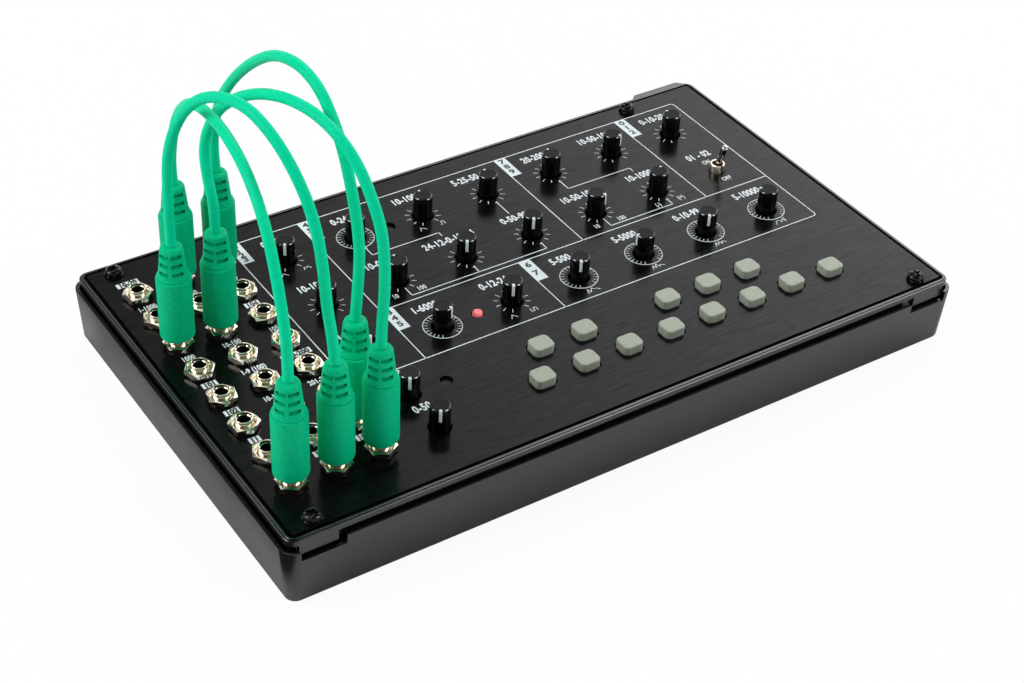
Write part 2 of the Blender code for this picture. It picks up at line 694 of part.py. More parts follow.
def makeToggle(material):
    socket = clearRadius(TOGGLE_BALL_RADIUS)
    halfX = TOGGLE_BODY_WIDTH / 2
    halfY = TOGGLE_BODY_DEPTH / 2
    corners = ((-halfX, -halfY), (halfX, halfY))
    mesh = bmesh.new()
    turned = -math.pi / 4
    addStack(mesh, [
        circleRing(socket, TOGGLE_PIVOT_RISE - TOGGLE_BALL_RADIUS - GAP, start=turned),
        circleRing(socket, TOGGLE_BUSHING_RISE, start=turned),
        circleRing(TOGGLE_BUSHING_RADIUS, TOGGLE_BUSHING_RISE, start=turned),
        circleRing(TOGGLE_BUSHING_RADIUS, SEAT, start=turned),
        boxRing(*corners, SEAT),
        boxRing(*corners, BOARD_TOP + GAP),
    ])
    x, y = togglePlace()
    finish(mesh, "toggle_body", material, (x, y, 0))

    lever = bmesh.new()
    ball = TOGGLE_BALL_RADIUS
    waist = math.sqrt(ball ** 2 - TOGGLE_NECK_RADIUS ** 2)
    diagonal = ball * math.sqrt(0.5)
    tip = TOGGLE_LENGTH
    addStack(lever, [
        circleRing(TOGGLE_NECK_RADIUS, -waist, SMALL_SIDES),
        circleRing(diagonal, -diagonal, SMALL_SIDES),
        circleRing(ball, 0, SMALL_SIDES),
        circleRing(diagonal, diagonal, SMALL_SIDES),
        circleRing(TOGGLE_NECK_RADIUS, waist, SMALL_SIDES),
        circleRing(TOGGLE_TIP_RADIUS, tip - TOGGLE_TIP_BEVEL, SMALL_SIDES),
        circleRing(TOGGLE_TIP_RADIUS - TOGGLE_TIP_BEVEL, tip, SMALL_SIDES),
    ])
    finish(lever, "toggle_lever", material, (x, y, TOGGLE_PIVOT_RISE), (TOGGLE_LEAN, 0, 0))


# Knobs, which share one mesh, each with the shaft that it turns

def makeKnobs(material):
    shaftBottom = SEAT - POT_BORE_DEPTH + GAP
    mesh = bmesh.new()
    addStack(mesh, [
        circleRing(POT_SHAFT_RADIUS, shaftBottom, SMALL_SIDES),
        circleRing(POT_SHAFT_RADIUS, PANEL_UNDERSIDE, SMALL_SIDES),
        circleRing(KNOB_RADIUS, PANEL_UNDERSIDE),
        circleRing(KNOB_RADIUS, KNOB_RISE - KNOB_BEVEL),
        circleRing(KNOB_RADIUS - KNOB_BEVEL, KNOB_RISE),
    ])
    first = finish(mesh, "knob_01", material)
    for index, (x, y) in enumerate(knobPlaces()):
        knob = first if index == 0 else place(first.data, f"knob_{index + 1:02d}")
        knob.location = (x, y, 0)


# Keys, each with a flange under the panel that stops it

def makeKeys(material):
    def capRing(inset, z):
        high = (KEY_WIDTH / 2 - inset, KEY_DEPTH / 2 - inset)
        low = (-high[0], -high[1])
        return roundedRing(low, high, KEY_CORNER_RADIUS - inset, z, KEY_CORNER_STEPS)

    reach = KEY_SLOT_CLEARANCE + KEY_LIP
    flangeHigh = (KEY_WIDTH / 2 + reach, KEY_DEPTH / 2 + reach)
    flange = ((-flangeHigh[0], -flangeHigh[1]), flangeHigh)
    mesh = bmesh.new()
    addStack(mesh, [
        capRing(KEY_EDGE, KEY_RISE),
        capRing(0, KEY_RISE - KEY_EDGE),
        capRing(0, SEAT),
        boxRing(*flange, SEAT),
        boxRing(*flange, KEY_BOTTOM),
    ])
    first = finish(mesh, "key_01", material)
    for index, (x, y) in enumerate(keyPlaces()):
        key = first if index == 0 else place(first.data, f"key_{index + 1:02d}")
        key.location = (x, y, 0)


# Panel screws with a cross recess

def makeScrews(material):
    headBottom = GAP + SCREW_WASHER_HEIGHT
    headTop = headBottom + SCREW_HEAD_HEIGHT
    mesh = bmesh.new()
    addStack(mesh, [
        circleRing(SCREW_SHAFT_RADIUS, GAP - SCREW_SHAFT_LENGTH, SMALL_SIDES),
        circleRing(SCREW_SHAFT_RADIUS, GAP, SMALL_SIDES),
        circleRing(SCREW_WASHER_RADIUS, GAP),
        circleRing(SCREW_WASHER_RADIUS, headBottom),
        circleRing(SCREW_HEAD_RADIUS, headBottom),
        circleRing(SCREW_HEAD_RADIUS, headTop - SCREW_CROWN_HEIGHT),
        circleRing(SCREW_CROWN_RADIUS, headTop),
    ])
    first = finish(mesh, "panel_screw_1", material)
    recess = bmesh.new()
    low = headTop - RECESS_DEPTH
    high = headTop + OVERRUN
    long = RECESS_LENGTH / 2
    wide = RECESS_WIDTH / 2
    cross = (
        (long, -wide), (long, wide), (wide, wide), (wide, long), (-wide, long), (-wide, wide),
        (-long, wide), (-long, -wide), (-wide, -wide), (-wide, -long), (wide, -long),
        (wide, -wide),
    )
    addStack(recess, [[Vector((x, y, z)) for x, y in cross] for z in (low, high)])
    cutter = finish(recess, "screw_recess_1")
    for index, (x, y) in enumerate(screwPlaces()):
        number = index + 1
        screw = first if index == 0 else place(first.data, f"panel_screw_{number}")
        tool = cutter if index == 0 else place(cutter.data, f"screw_recess_{number}")
        screw.location = (x, y, 0)
        tool.location = (x, y, 0)
        combine(screw, tool, "DIFFERENCE")


# Power inlet: a barrel socket with a centre pin, facing back

def makeInlet(material):
    x, z = inletCentre()
    front = PANEL_DEPTH - BOARD_MARGIN + GAP
    back = PANEL_DEPTH + tubOffset(TRAY_BOTTOM) - TUB_WALL - GAP
    halfX = INLET_WIDTH / 2
    halfZ = INLET_HEIGHT / 2

    def ring(points, y):
        return [Vector((x + p.x, y, z + p.y)) for p in points]

    body = boxRing((-halfX, -halfZ), (halfX, halfZ), 0)
    bore = circleRing(INLET_BORE_RADIUS, 0, start=-math.pi / 4)
    pin = circleRing(INLET_PIN_RADIUS, 0, SMALL_SIDES, -math.pi / 4)
    mesh = bmesh.new()
    addStack(mesh, [
        ring(body, front),
        ring(body, back),
        ring(bore, back),
        ring(bore, back - INLET_BORE_DEPTH),
        ring(pin, back - INLET_BORE_DEPTH),
        ring(pin, back - INLET_PIN_RECESS),
    ])
    finish(mesh, "power_inlet", material)


# Plugs: shaft, collar, grip and a slotted strain relief

def makePlugs(material):
    mesh = bmesh.new()
    tipTop = PLUG_TIP + PLUG_TIP_LENGTH
    addStack(mesh, [
        circleRing(PLUG_TIP_RADIUS, PLUG_TIP, SMALL_SIDES),
        circleRing(PLUG_SHAFT_RADIUS, tipTop, SMALL_SIDES),
        circleRing(PLUG_SHAFT_RADIUS, PLUG_SEAT, SMALL_SIDES),
        circleRing(PLUG_COLLAR_RADIUS, PLUG_SEAT),
        circleRing(PLUG_COLLAR_RADIUS, GRIP_BOTTOM),
        circleRing(GRIP_RADIUS - GRIP_EDGE, GRIP_BOTTOM),
        circleRing(GRIP_RADIUS, GRIP_BOTTOM + GRIP_EDGE),
        circleRing(GRIP_RADIUS, GRIP_TOP),
        circleRing(SHOULDER_RADIUS, RELIEF_BOTTOM),
        circleRing(RELIEF_TOP_RADIUS, RELIEF_TOP),
        circleRing(RELIEF_CROWN_RADIUS, PLUG_TOP),
    ])
    names = [f"plug_{cord + 1}{end}" for cord in range(len(CORD_JACKS)) for end in "ab"]
    first = finish(mesh, names[0], material)
    slots = bmesh.new()
    for row in range(SLOT_ROWS):
        z = RELIEF_BOTTOM + SLOT_START + row * SLOT_PITCH
        share = (z - RELIEF_BOTTOM) / RELIEF_HEIGHT
        face = SHOULDER_RADIUS + (RELIEF_TOP_RADIUS - SHOULDER_RADIUS) * share
        half = SLOT_WIDTH / 2
        inner = face - SLOT_DEPTH
        outer = face + OVERRUN
        addBox(slots, (-half, inner, z), (half, outer, z + SLOT_HEIGHT))
        addBox(slots, (-half, -outer, z), (half, -inner, z + SLOT_HEIGHT))
    cutter = finish(slots, "slots_" + names[0])
    places = [jackPlace(*jack) for jacks in CORD_JACKS for jack in jacks]
    for name, (x, y) in zip(names, places):
        plug = first if name == names[0] else place(first.data, name)
        tool = cutter if name == names[0] else place(cutter.data, "slots_" + name)
        for piece in (plug, tool):
            piece.location = (x, y, 0)
            piece.rotation_euler = (0, 0, SLOT_FACING)
        combine(plug, tool, "DIFFERENCE")


# Patch cords: tubes on smooth lines through the points of their routes

def smoothLine(points):
    before = 2 * points[0] - points[1]
    after = 2 * points[-1] - points[-2]
    path = [before] + points + [after]
    line = []
    for a, b, c, d in zip(path, path[1:], path[2:], path[3:]):
        for step in range(CORD_STEPS):
            t = step / CORD_STEPS
            bend = (2 * a - 5 * b + 4 * c - d) * t + (3 * b - a - 3 * c + d) * t * t
            line.append(b + ((c - a) + bend) * t / 2)
    return line + [points[-1]]


def evenPoints(line, count):
    lengths = [0.0]
    for a, b in zip(line, line[1:]):
        lengths.append(lengths[-1] + (b - a).length)
    points = []
    k = 0
    for i in range(count):
        wanted = lengths[-1] * i / (count - 1)
        while k < len(line) - 2 and lengths[k + 1] < wanted:
            k += 1
        share = (wanted - lengths[k]) / (lengths[k + 1] - lengths[k])
        points.append(line[k].lerp(line[k + 1], share))
    return points


def makeCords(material):
    for number, (jacks, route) in enumerate(zip(CORD_JACKS, CORD_ROUTES), 1):
        ends = [Vector((*jackPlace(*jack), CORD_START)) for jack in jacks]
        middle = [Vector(point) * MM for point in route]
        points = evenPoints(smoothLine([ends[0]] + middle + [ends[1]]), CORD_POINT_COUNT)
        curve = bpy.data.curves.new(f"patch_cord_{number}", "CURVE")
        curve.dimensions = "3D"
        curve.bevel_depth = CORD_RADIUS
        curve.bevel_resolution = 2
        curve.use_fill_caps = True
        spline = curve.splines.new("POLY")
        spline.points.add(len(points) - 1)
        for target, point in zip(spline.points, points):
            target.co = (*point, 1)
        curve.materials.append(material)
        place(curve, curve.name)


def build():
    for item in list(bpy.data.objects):
        bpy.data.objects.remove(item)
    frame = bpy.data.objects.new("panel_frame", None)
    frame.location = (-PANEL_WIDTH / 2, -PANEL_DEPTH / 2, PANEL_HEIGHT)
    bpy.context.scene.collection.objects.link(frame)
    makePanel(makeMaterial("panel_black", PANEL_BLACK))
    casePlastic = makeMaterial("case_plastic", CASE_BLACK)
    makeTray(casePlastic)
    makeTub(casePlastic)
    nickel = makeMaterial("nickel", NICKEL)
    makePatchBoard(nickel)
    makeControlBoard(makeMaterial("board_green", BOARD_GREEN))
    makeLight(makeMaterial("light_red", LIGHT_RED))
    makeToggle(nickel)
    makeKnobs(makeMaterial("knob_black", KNOB_BLACK))
    makeKeys(makeMaterial("key_grey", KEY_GREY))
    makeScrews(makeMaterial("screw_black", SCREW_BLACK))
    makeInlet(makeMaterial("inlet_black", CASE_BLACK))
    cordRubber = makeMaterial("cord_green", CORD_GREEN)
    makePlugs(cordRubber)
    makeCords(cordRubber)


build()
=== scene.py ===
# Looks of a desktop analog synthesizer with a patch bay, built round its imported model.
# Pieces are drawn in millimetres from the panel's front left corner, with the panel's top at zero.
import math

import bmesh
import bpy
from mathutils import Matrix, Quaternion, Vector


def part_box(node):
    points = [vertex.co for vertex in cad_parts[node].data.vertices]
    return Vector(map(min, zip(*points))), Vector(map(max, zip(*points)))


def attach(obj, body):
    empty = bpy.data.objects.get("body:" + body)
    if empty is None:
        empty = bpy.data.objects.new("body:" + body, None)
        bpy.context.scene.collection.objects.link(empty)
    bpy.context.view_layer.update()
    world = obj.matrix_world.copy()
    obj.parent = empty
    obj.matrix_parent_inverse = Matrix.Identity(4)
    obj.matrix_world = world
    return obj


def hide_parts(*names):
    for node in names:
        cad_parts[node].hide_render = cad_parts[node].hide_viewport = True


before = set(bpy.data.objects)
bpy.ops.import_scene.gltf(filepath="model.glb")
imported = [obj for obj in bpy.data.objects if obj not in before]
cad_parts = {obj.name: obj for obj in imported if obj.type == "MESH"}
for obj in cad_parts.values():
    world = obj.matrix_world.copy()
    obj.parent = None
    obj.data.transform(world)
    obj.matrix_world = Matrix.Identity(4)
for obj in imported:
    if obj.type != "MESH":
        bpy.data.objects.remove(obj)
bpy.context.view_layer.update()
scene = bpy.context.scene

mm = 0.001
panelLow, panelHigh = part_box("front_panel")
panelCorner = Vector((panelLow.x, panelLow.y, panelHigh.z))
panelSize = (panelHigh - panelLow) / mm
fromPanel = Matrix.Translation(panelCorner) @ Matrix.Scale(mm, 4)


# Places and turns

def move(x, y, z=0.0):
    return Matrix.Translation((x, y, z))


def turn(degrees, axis="Z"):
    return Matrix.Rotation(math.radians(degrees), 4, axis)


def stretch(x, y, z):
    return Matrix.Diagonal((x, y, z, 1))


# Where the controls stand on the panel
layout = {
    "jackStart": (8.9, 111.5), "jackStep": (13.55, 13.5), "jackColumns": 3, "jackRows": 8,
    "knobStart": 54.7, "knobStep": 24.117, "knobRows": (106.2, 80.65, 55.1, 33.4, 17.3),
    "toggleCell": (6, 1), "keyStep": 15.1, "lowKeys": (90.2, 19.9), "highKeys": (97.75, 32.0),
    "highKeyAfter": (0, 1, 3, 4, 5), "light": (90.87, 55.1),
    "darkLights": ((90.87, 106.2), (66.76, 33.4)),
    "screws": ((7.45, 3), (215.75, 3), (195.45, 125.5), (7.45, 125.5)),
}


# Columns count from the left, rows from the back
def jackPlace(column, row):
    x, y = layout["jackStart"]
    across, back = layout["jackStep"]
    return x + across * column, y - back * row


def knobPlace(column, row):
    return layout["knobStart"] + layout["knobStep"] * column, layout["knobRows"][row]


jackCells = [(c, r) for c in range(layout["jackColumns"]) for r in range(layout["jackRows"])]
jackPlaces = [jackPlace(*cell) for cell in jackCells]
knobCells = [(c, r) for c in range(7) for r in range(3) if (c, r) != layout["toggleCell"]]
knobCells += [(0, 3), (0, 4)]
knobPlaces = [knobPlace(*cell) for cell in knobCells]
togglePlace = knobPlace(*layout["toggleCell"])
keyPlaces = []
for keyIndex in range(8):
    start, y = layout["lowKeys"]
    keyPlaces.append((start + layout["keyStep"] * keyIndex, y))
    if keyIndex in layout["highKeyAfter"]:
        start, y = layout["highKeys"]
        keyPlaces.append((start + layout["keyStep"] * keyIndex, y))
underPanel = -1.95  # top of the bodies that lie under the panel


# Colours and materials

def linear(hexCode):
    values = [int(hexCode[i:i + 2], 16) / 255 for i in (1, 3, 5)]
    return [v / 12.92 if v < 0.0405 else ((v + 0.055) / 1.055) ** 2.4 for v in values] + [1]


# Adds one node: settings are its own options or its sockets' values, links join its sockets
def addNode(tree, kind, settings, links=()):
    node = tree.nodes.new("ShaderNode" + kind)
    for key, value in settings.items():
        if isinstance(key, str) and hasattr(node, key):
            setattr(node, key, value)
        else:
            node.inputs[key].default_value = value
    for key, socket in dict(links).items():
        tree.links.new(socket, node.inputs[key])
    return node


def newMaterial(name, colour, roughness, metallic=0.0, **others):
    material = bpy.data.materials.new(name)
    material.use_nodes = True
    tree = material.node_tree
    shader = tree.nodes["Principled BSDF"]
    shader.inputs["Base Color"].default_value = linear(colour)
    shader.inputs["Roughness"].default_value = roughness
    shader.inputs["Metallic"].default_value = metallic
    for key, value in others.items():
        shader.inputs[key.replace("_", " ")].default_value = value
    place = addNode(tree, "TexCoord", {}).outputs["Object"]
    return material, tree, shader, place


# How often a pattern repeats in a metre, from its grain in millimetres
def per(grain):
    return 1 / (grain * mm)


# Lays a pattern over a material: as it goes from the low to the high end of the span, it turns
# one tint into the other and one roughness into the other. It raises the surface by a relief of
# (millimetres, strength).
def layPattern(tree, shader, pattern, span=(0.3, 0.7), tints=None, rough=None, relief=None):
    spread = {"From Min": span[0], "From Max": span[1]}
    if tints:
        share = addNode(tree, "MapRange", spread, {"Value": pattern})
        shade = addNode(
            tree, "Mix", {"data_type": "RGBA", 6: linear(tints[0]), 7: linear(tints[1])},
            {0: share.outputs["Result"]},
        )
        tree.links.new(shade.outputs[2], shader.inputs["Base Color"])
    if rough:
        level = addNode(
            tree, "MapRange", {**spread, "To Min": rough[0], "To Max": rough[1]},
            {"Value": pattern},
        )
        tree.links.new(level.outputs["Result"], shader.inputs["Roughness"])
    if relief:
        raised = addNode(
            tree, "Bump", {"Distance": relief[0] * mm, "Strength": relief[1]}, {"Height": pattern},
        )
        tree.links.new(raised.outputs["Normal"], shader.inputs["Normal"])


# Black anodised aluminium, brushed along x before anodising: a soft mirror with fine lines.
# Real scratches are about 0.05 mm wide and would not show, so they are drawn 0.4 mm wide.
def brushedAluminium(shine):
    material, tree, shader, place = newMaterial(
        "anodisedAluminium", "#0B0B0C", 0.2, IOR=1.5, Specular_IOR_Level=shine,
    )
    drawn = addNode(tree, "Mapping", {"Scale": (per(6), per(0.42), per(5))}, {"Vector": place})
    lines = addNode(
        tree, "TexNoise", {"Scale": 1, "Detail": 3}, {"Vector": drawn.outputs["Vector"]},
    )
    wide = addNode(tree, "Mapping", {"Scale": (per(30), per(1.3), per(20))}, {"Vector": place})
    bands = addNode(
        tree, "TexNoise", {"Scale": 1, "Detail": 2}, {"Vector": wide.outputs["Vector"]},
    )
    both = addNode(
        tree, "Math", {"operation": "MULTIPLY_ADD", 1: 0.5},
        {0: bands.outputs["Fac"], 2: lines.outputs["Fac"]},
    )
    layPattern(
        tree, shader, both.outputs["Value"], (0.55, 0.95), ("#060606", "#0D0D0E"), (0.16, 0.24),
    )
    layPattern(tree, shader, lines.outputs["Fac"], relief=(0.012, 0.5))
    gloss = addNode(  # each line shines a little more or less than the next
        tree, "MapRange",
        {"From Min": 0.36, "From Max": 0.64, "To Min": shine - 0.024, "To Max": shine + 0.024},
        {"Value": lines.outputs["Fac"]},
    )
    tree.links.new(gloss.outputs["Result"], shader.inputs["Specular IOR Level"])
    return material


# Black thermoplastic, moulded in a spark-eroded tool: an even satin grain, glossier where it is
# handled. The real grain is about 0.1 mm and is drawn three times as coarse, so that it shows.
def mouldedPlastic(name, colour, roughness, grainSize=0.35, height=0.008, shine=0.5):
    material, tree, shader, place = newMaterial(
        name, colour, roughness, IOR=1.53, Specular_IOR_Level=shine,
    )
    fine = addNode(tree, "TexNoise", {"Scale": per(grainSize), "Detail": 2}, {"Vector": place})
    handled = addNode(tree, "TexNoise", {"Scale": per(35), "Detail": 2}, {"Vector": place})
    layPattern(
        tree, shader, handled.outputs["Fac"], rough=(roughness - 0.05, roughness + 0.06),
    )
    layPattern(tree, shader, fine.outputs["Fac"], relief=(height, 0.6))
    return material


# Bright plate on turned metal: a mirror with faint tool marks round the axis and cloudy patches.
# Tool marks of 0.05 mm are too fine to show, and are drawn 0.3 mm apart.
def platedMetal(name, colour, roughness):
    material, tree, shader, place = newMaterial(name, colour, roughness, 1.0)
    cut = addNode(tree, "Mapping", {"Scale": (per(4), per(4), per(0.3))}, {"Vector": place})
    marks = addNode(
        tree, "TexNoise", {"Scale": 1, "Detail": 1}, {"Vector": cut.outputs["Vector"]},
    )
    cloud = addNode(tree, "TexNoise", {"Scale": per(2.4), "Detail": 2}, {"Vector": place})
    layPattern(tree, shader, cloud.outputs["Fac"], rough=(roughness - 0.03, roughness + 0.05))
    layPattern(tree, shader, marks.outputs["Fac"], relief=(0.002, 0.3))
    return material


# Green flexible vinyl, moulded on the plugs and drawn on the cords: satin, a little light comes
# through. Its orange-peel skin is about 0.15 mm and is drawn 0.5 mm across, so that it shows.
def softVinyl(name, colour, deeper, roughness, height):
    material, tree, shader, place = newMaterial(
        name, colour, roughness, IOR=1.5, Specular_IOR_Level=0.07, Subsurface_Weight=0.05,
        Subsurface_Scale=0.0015, Subsurface_Radius=(0.1, 1.0, 0.6),
    )
    skin = addNode(tree, "TexNoise", {"Scale": per(0.5), "Detail": 3}, {"Vector": place})
    dye = addNode(tree, "TexNoise", {"Scale": per(0.9), "Detail": 4}, {"Vector": place})
    layPattern(tree, shader, dye.outputs["Fac"], tints=(colour, deeper))
    layPattern(
        tree, shader, skin.outputs["Fac"], rough=(roughness - 0.05, roughness + 0.07),
        relief=(height, 0.6),
    )
    return material


# White screen ink on anodised metal, printed through a mesh: dull, slightly blue, thinner in spots
def screenInk(name, colour, thin):
    material, tree, shader, place = newMaterial(name, colour, 0.55, IOR=1.45)
    cover = addNode(tree, "TexNoise", {"Scale": per(0.3), "Detail": 3}, {"Vector": place})
    layPattern(
        tree, shader, cover.outputs["Fac"], (0.35, 0.75), (colour, thin), relief=(0.005, 0.4),
    )
    return material


# Silicone rubber, pressed in a mould: soft matt grey-green, speckled, light sinks in at the edges
def siliconeRubber():
    material, tree, shader, place = newMaterial(
        "siliconeRubber", "#A2A99C", 0.5, IOR=1.41, Subsurface_Weight=0.25,
        Subsurface_Scale=0.0015, Subsurface_Radius=(1.0, 0.9, 0.6),
    )
    fine = addNode(tree, "TexNoise", {"Scale": per(0.4), "Detail": 3}, {"Vector": place})
    layPattern(
        tree, shader, fine.outputs["Fac"], tints=("#AAB2A4", "#979E8F"), relief=(0.02, 0.5),
    )
    return material


# Glass-filled circuit board under green solder mask: shiny lacquer over a woven core.
# The weave's real pitch of 0.5 mm is kept across, and doubled along the board.
def solderMask():
    material, tree, shader, place = newMaterial("solderMask", "#0F5A36", 0.3, IOR=1.55)
    woven = addNode(tree, "Mapping", {"Scale": (per(1), per(0.5), per(1))}, {"Vector": place})
    weave = addNode(
        tree, "TexNoise", {"Scale": 1, "Detail": 1}, {"Vector": woven.outputs["Vector"]},
    )
    layPattern(
        tree, shader, weave.outputs["Fac"], tints=("#0C4A2C", "#14633D"), relief=(0.01, 0.4),
    )
    return material


# Diffused red epoxy of a small lit lamp, cast: cloudy resin with a brighter core
def redEpoxy():
    material, tree, shader, place = newMaterial(
        "redEpoxy", "#E2504E", 0.22, IOR=1.54, Subsurface_Weight=0.4, Subsurface_Scale=0.001,
        Emission_Color=linear("#FF6E6E"), Emission_Strength=0.3,
    )
    cloud = addNode(tree, "TexNoise", {"Scale": per(0.7), "Detail": 2}, {"Vector": place})
    layPattern(
        tree, shader, cloud.outputs["Fac"], (0.35, 0.65), ("#FBA09C", "#D8484A"),
        relief=(0.05, 0.6),
    )
    return material


# Blackened steel of the screws: hot dark oxide, with small bright spots painted into its colour as
# highlights (painted glints)
def blackenedSteel():
    material, tree, shader, place = newMaterial("blackenedSteel", "#1A1A1B", 0.14, 0.7)
    fine = addNode(tree, "TexNoise", {"Scale": per(0.5), "Detail": 3}, {"Vector": place})
    # painted highlights: the lighter tint makes bright spots over the head that stand in for glints
    layPattern(
        tree, shader, fine.outputs["Fac"], (0.55, 0.75), ("#141415", "#6A6866"),
        relief=(0.03, 0.6),
    )
    return material


aluminium = brushedAluminium(0.12)
casePlastic = mouldedPlastic("satinBlackAbs", "#0E0E0F", 0.29, 0.35, 0.008, 0.66)
socketPlastic = mouldedPlastic("blackNylon", "#070708", 0.45, 0.35, 0.008, 0.3)
feetRubber = mouldedPlastic("blackRubber", "#131313", 0.7, 0.6, 0.03)
knobGloss = mouldedPlastic("glossBlackAbs", "#040404", 0.24, 1.2, 0.0003, 0.16)
knobTop = mouldedPlastic("mattBlackAbs", "#1E1E1F", 0.75, 0.6, 0.05, 0.2)
knobRim = mouldedPlastic("polishedBlackAbs", "#060606", 0.11, 1.2, 0.0003, 1.0)
pointerPaint = screenInk("pointerPaint", "#F2F9FB", "#DCE6E9")
ink = screenInk("whiteInk", "#E6F0F4", "#CDD8DC")
darkInk = mouldedPlastic("bareAnodising", "#0C0C0D", 0.4)
jackNickel = platedMetal("nickelPlatedBrass", "#EFE5D2", 0.19)
leverChrome = platedMetal("chromePlatedSteel", "#DCD8D2", 0.1)
bushingNickel = platedMetal("satinNickelPlatedBrass", "#F2E6CF", 0.31)
# Both are the same green vinyl: the cords' tint is mixed lighter, as painted light on their upward
# faces, and the plugs' darker, as painted shade on their upright grips
cordVinylPaintedLight = softVinyl("cordVinylPaintedLight", "#00E0A8", "#00D49D", 0.42, 0.012)
plugVinylPaintedShade = softVinyl("plugVinylPaintedShade", "#00C68E", "#00B681", 0.46, 0.018)
keyRubber = siliconeRubber()
boardMask = solderMask()
lampResin = redEpoxy()
screwSteel = blackenedSteel()
print("materials made")


# Meshes and pieces

def only(kind, geom):
    return [item for item in geom if isinstance(item, kind)]


# Merges the doubles and turns the faces outwards
def clean(bm, distance=0.0005):
    bmesh.ops.remove_doubles(bm, verts=bm.verts, dist=distance)
    bmesh.ops.recalc_face_normals(bm, faces=bm.faces)


# Raises faces to a closed plate, and keeps them as its other side
def thicken(bm, faces, height):
    raised = bmesh.ops.extrude_face_region(bm, geom=faces, use_keep_orig=True)["geom"]
    bmesh.ops.translate(bm, verts=only(bmesh.types.BMVert, raised), vec=(0, 0, height))


# A line of new points, joined one to the next, and the last to the first where it is closed
def drawLine(bm, points, closed):
    verts = [bm.verts.new(point) for point in points]
    edges = [bm.edges.new(pair) for pair in zip(verts, verts[1:])]
    if closed:
        edges.append(bm.edges.new((verts[-1], verts[0])))
    return verts + edges


# A turned shape from its outline of (radius, height) points
def turned(outline, sides=48, closed=False):
    bm = bmesh.new()
    line = drawLine(bm, [(radius, 0, z) for radius, z in outline], closed)
    bmesh.ops.spin(
        bm, geom=line, cent=(0, 0, 0), axis=(0, 0, 1), angle=math.tau, steps=sides,
        use_merge=True,
    )
    clean(bm)
    return bm


# Rounds the edges that fold by more than the angle, or those of them that a test picks out
def soften(bm, width, segments=2, angle=35, within=None):
    bmesh.ops.recalc_face_normals(bm, faces=bm.faces)
    sharp = [
        edge for edge in bm.edges
        if len(edge.link_faces) == 2 and edge.calc_face_angle(0) > math.radians(angle)
        and (within is None or within(edge))
    ]
    bmesh.ops.bevel(
        bm, geom=sharp, offset=width, offset_type="OFFSET", segments=segments, profile=0.5,
        affect="EDGES", material=-1, clamp_overlap=True,
    )


# A block between two corners, with its edges rounded where a rounding is given
def block(low, high, rounding=0, segments=2):
    bm = bmesh.new()
    size = [b - a for a, b in zip(low, high)]
    middle = [(a + b) / 2 for a, b in zip(low, high)]
    bmesh.ops.create_cube(bm, size=1, matrix=move(*middle) @ stretch(*size))
    if rounding:
        soften(bm, rounding, segments)
    return bm


# Adds a shape to another one, placed by a matrix
def addShape(bm, shape, place=None):
    mesh = bpy.data.meshes.new("shape")
    shape.to_mesh(mesh)
    if place is not None:
        mesh.transform(place)
    bm.from_mesh(mesh)
    bpy.data.meshes.remove(mesh)
    return bm


def addPiece(bm, name, body, materials, nodes=(), smooth=30, place=None):
    if place is not None:
        bmesh.ops.transform(bm, matrix=place, verts=bm.verts)
    bmesh.ops.transform(bm, matrix=fromPanel, verts=bm.verts)
    mesh = bpy.data.meshes.new(name)
    bm.to_mesh(mesh)
    bm.free()
    for material in materials:
        mesh.materials.append(material)
    mesh.shade_smooth()
    mesh.set_sharp_from_angle(angle=math.radians(smooth))
    for face in mesh.polygons:
        if abs(face.normal.z) > 0.9998 or face.area > 12 * mm * mm:
            face.use_smooth = False  # large flats don't take the shine of their rounded edges
    piece = bpy.data.objects.new(name, mesh)
    scene.collection.objects.link(piece)
    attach(piece, body)
    if nodes:
        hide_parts(*nodes)
    return piece


# Cuts a shape with another one, and returns the new shape
def cutShape(bm, cutter):
    objects = []
    for shape in (bm, cutter):
        bmesh.ops.recalc_face_normals(shape, faces=shape.faces)
        mesh = bpy.data.meshes.new("cut")
        shape.to_mesh(mesh)
        shape.free()
        objects.append(bpy.data.objects.new("cut", mesh))
        scene.collection.objects.link(objects[-1])
    change = objects[0].modifiers.new("cut", "BOOLEAN")
    change.operation = "DIFFERENCE"
    change.solver = "EXACT"
    change.object = objects[1]
    bpy.context.view_layer.update()
    done = objects[0].evaluated_get(bpy.context.evaluated_depsgraph_get())
    result = bmesh.new()
    result.from_mesh(done.to_mesh())
    for item in objects:
        bpy.data.objects.remove(item)
    return result


# The outline of a rectangle with round corners, as edges without a face
def roundedOutline(bm, low, high, radius, z, steps=6, corners=(0, 1, 2, 3)):
    middle = ((low[0] + high[0]) / 2, (low[1] + high[1]) / 2, z)
    half = stretch((high[0] - low[0]) / 2, (high[1] - low[1]) / 2, 1)
    made = bmesh.ops.create_circle(
        bm, cap_ends=True, segments=4, radius=math.sqrt(2),
        matrix=move(*middle) @ half @ turn(45),
    )
    chosen = [made["verts"][i] for i in corners]
    if radius:
        bmesh.ops.bevel(
            bm, geom=chosen, offset=radius, offset_type="OFFSET", segments=steps, profile=0.5,
            affect="VERTICES", material=-1, clamp_overlap=False,
        )
    bmesh.ops.delete(bm, geom=list(bm.faces), context="FACES_ONLY")


# A plate between two heights, filled between its outline and the holes drawn inside it
def fillPlate(bm, low, high):
    made = bmesh.ops.triangle_fill(bm, use_beauty=True, use_dissolve=False, edges=bm.edges)
    thicken(bm, only(bmesh.types.BMFace, made["geom"]), high - low)
    clean(bm)


